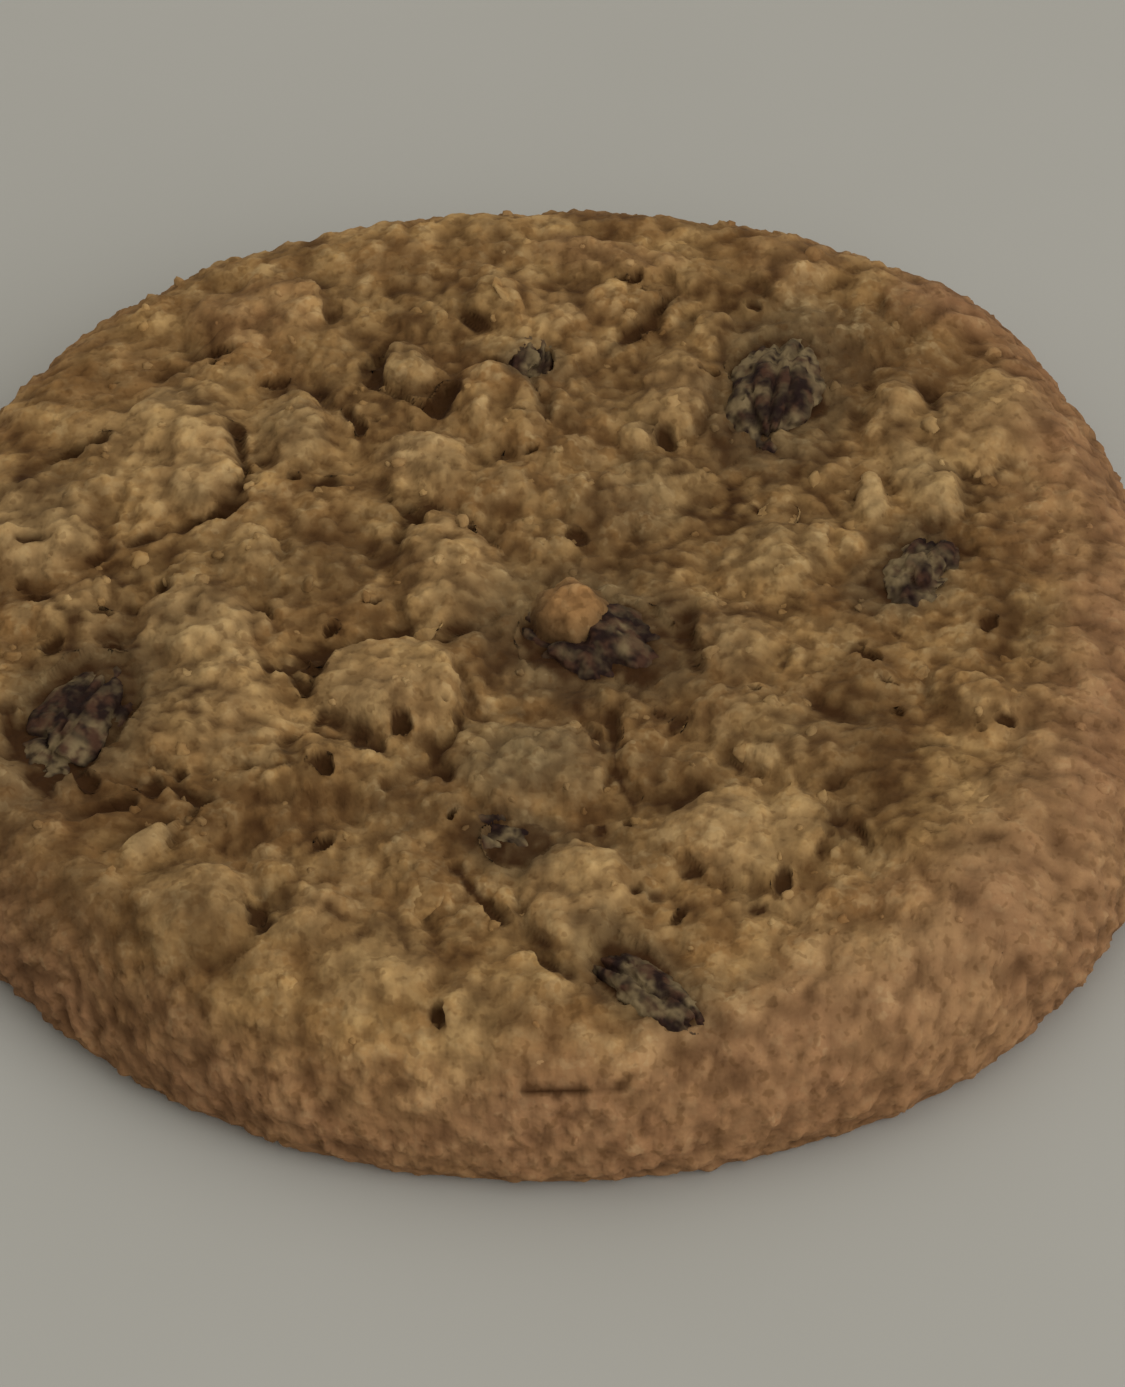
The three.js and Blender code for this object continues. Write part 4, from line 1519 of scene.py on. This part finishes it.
@dataclass
class RaisinSkinShape:
    """The wrinkled skin of one raisin: a slightly flat oval ball with deep furrows along it and finer
    folds. Swell, furrow and fold are shares of the radius. The film is the dough smeared over it, in
    millimetres."""

    raisin: Raisin
    seed: int
    body: DoughBody
    around: int = 110
    rings: int = 70
    mean: float = 1.02
    swell: float = 0.12
    furrow: float = 0.15
    furrow_width: float = 0.34
    fold: float = 0.045
    fold_width: float = 0.4
    film_base: float = 0.08
    film_depth: float = 0.35

    def surface(self) -> Surface:
        """An oval ball. Furrows are the narrow valleys where a noise stretched along the raisin crosses
        zero, folds are finer ones, and the film covers it where another noise is high.

        Returns:
            The closed surface, with the masks film and fold.
        """
        raisin = self.raisin
        ball = ball_points(self.around, self.rings)
        flow = ball * (1.5, 1.5, 1.0) + 11.3 * (self.seed + 1)
        flow = flow + 0.4 * np.stack([noise(flow, 0.7, 60 + k) for k in range(3)], axis=1)
        furrow = 1 - fade(np.abs(noise(flow, 0.62, 13)), 0.0, self.furrow_width)
        fold = 1 - fade(np.abs(noise(flow * 1.3, 0.3, 17)), 0.0, self.fold_width)
        radius = self.mean + self.swell * noise(flow, 1.2, 29) - self.furrow * furrow - self.fold * fold
        x, y, z = ball.T
        local = np.stack([z * raisin.long, -x * raisin.wide, y * raisin.thick], axis=1) * radius[:, None]
        cos, sin = math.cos(math.radians(raisin.turn)), math.sin(math.radians(raisin.turn))
        spin = np.array([[cos, sin, 0], [-sin, cos, 0], [0, 0, 1]])
        valley = self.body.profile(np.array([math.hypot(raisin.x, raisin.y)]))[1][0]
        points = local @ spin + (raisin.x, raisin.y, valley + raisin.proud - raisin.thick)
        cover = noise(points, 2.4, 33 + self.seed) + 0.8 * noise(points, 1.0, 47 + self.seed)
        smeared = 1.3 * raisin.smear
        film = fade(cover, 0.3 - smeared, 1.1 - smeared)
        # The fold mask is painted shade in the furrows that the film leaves bare.
        masks = {"film": film, "fold": furrow * (1 - film)}
        surface = Surface(points, ball_triangles(self.around, self.rings), masks)
        clots = swells(points, 0.9, 5 + self.seed) - 0.35
        out = film * (self.film_base + self.film_depth * clots)
        surface.points = points + out[:, None] * surface.normals()
        return surface


# ----------------------------------------------------------------------------------------------------------
# Studio
# ----------------------------------------------------------------------------------------------------------


@dataclass(frozen=True)
class Softbox:
    """A square soft light that faces the cookie: its place and side in metres, its power in watts and its
    colour."""

    name: str
    place: tuple[float, float, float]
    side: float
    power: float
    colour: str

    def hang(self) -> None:
        """Makes the light at its place, turned to the middle of the underside."""
        lamp = bpy.data.lights.new(self.name, "AREA")
        lamp.size, lamp.energy, lamp.color = self.side, self.power, linear(self.colour)[:3]
        holder = bpy.data.objects.new(self.name, lamp)
        holder.location = self.place
        holder.rotation_euler = (-Vector(self.place)).to_track_quat("-Z", "Y").to_euler()
        bpy.context.scene.collection.objects.link(holder)


@dataclass
class Studio:
    """A pale table, a soft key light from the front right, a weak one from above and behind, and a camera
    that looks down on the cookie from the front, at an elevation in degrees. Pixels are those of the full
    frame."""

    elevation: float = 44.4
    distance_mm: float = 500.0
    pixels_per_mm: float = 15.747
    image_height: int = 1387
    target_mm: tuple[float, float, float] = (1.05, -3.34, 4.5)
    table_half_m: float = 1.5
    key: Softbox = Softbox("key_softbox", (0.54, -0.5, 0.5), 0.9, 4.7, "#FAFAFF")
    back: Softbox = Softbox("back_softbox", (0.1, 0.3, 0.75), 0.8, 0.7, "#FFFBF4")
    daylight: str = "#FFFDF8"
    daylight_strength: float = 0.6

    def build(self) -> None:
        """Makes the table, the lights, the world and the camera."""
        self.table()
        self.key.hang()
        self.back.hang()
        world = bpy.data.worlds.new("studio")
        bpy.context.scene.world = world
        world.use_nodes = True
        background = world.node_tree.nodes["Background"]
        background.inputs["Color"].default_value = linear(self.daylight)
        background.inputs["Strength"].default_value = self.daylight_strength
        bpy.context.scene.view_settings.view_transform = "Standard"
        self.camera()

    def table(self) -> None:
        """A flat square under the cookie."""
        half = self.table_half_m / MM
        corners = np.array([[-half, -half, 0], [half, -half, 0], [half, half, 0], [-half, half, 0]], float)
        mesh = bpy.data.meshes.new("table")
        mesh.from_pydata(corners * MM, [], [(0, 1, 2, 3)])
        mesh.materials.append(TableTop().material())
        table = bpy.data.objects.new("table", mesh)
        bpy.context.scene.collection.objects.link(table)

    def camera(self) -> None:
        """A long lens at the studio's elevation, aimed along +Y at the target."""
        lens = bpy.data.cameras.new("camera")
        lens.sensor_width = 36
        lens.lens = lens.sensor_width * self.pixels_per_mm * self.distance_mm / self.image_height
        lens.clip_start, lens.clip_end = 0.01, 10
        slope = math.radians(self.elevation)
        forward = Vector((0, math.cos(slope), -math.sin(slope)))
        camera = bpy.data.objects.new("camera", lens)
        camera.location = (Vector(self.target_mm) - forward * self.distance_mm) * MM
        camera.rotation_euler = forward.to_track_quat("-Z", "Y").to_euler()
        bpy.context.scene.collection.objects.link(camera)
        bpy.context.scene.camera = camera


def main() -> None:
    """Builds the studio and the cookie's pieces in order."""
    logging.basicConfig(level=logging.INFO, format="%(message)s")
    Studio().build()

    dough = Dough()
    base, crust = dough.surface(dough.base), dough.surface(dough.crust)
    dough_finish = BakedDough().material()
    piece = base.piece("dough", dough_finish)
    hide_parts("cookie")
    ground = Ground.of(crust, base, dough)
    small_parts = {
        "craggy_crust": crust,
        "crumbs": Crumbs().surface(ground),
        "oat_flakes": OatFlakes().surface(ground),
    }
    for name, surface in small_parts.items():
        surface.piece(name, dough_finish)

    skin = RaisinSkin().material()
    for seed, raisin in enumerate(RAISINS):
        shape = RaisinSkinShape(raisin, seed, dough.body).surface()
        piece = shape.piece(raisin.node.replace("raisin", "wrinkled_raisin"), skin)
        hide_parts(raisin.node)


if __name__ == "__main__":
    main()
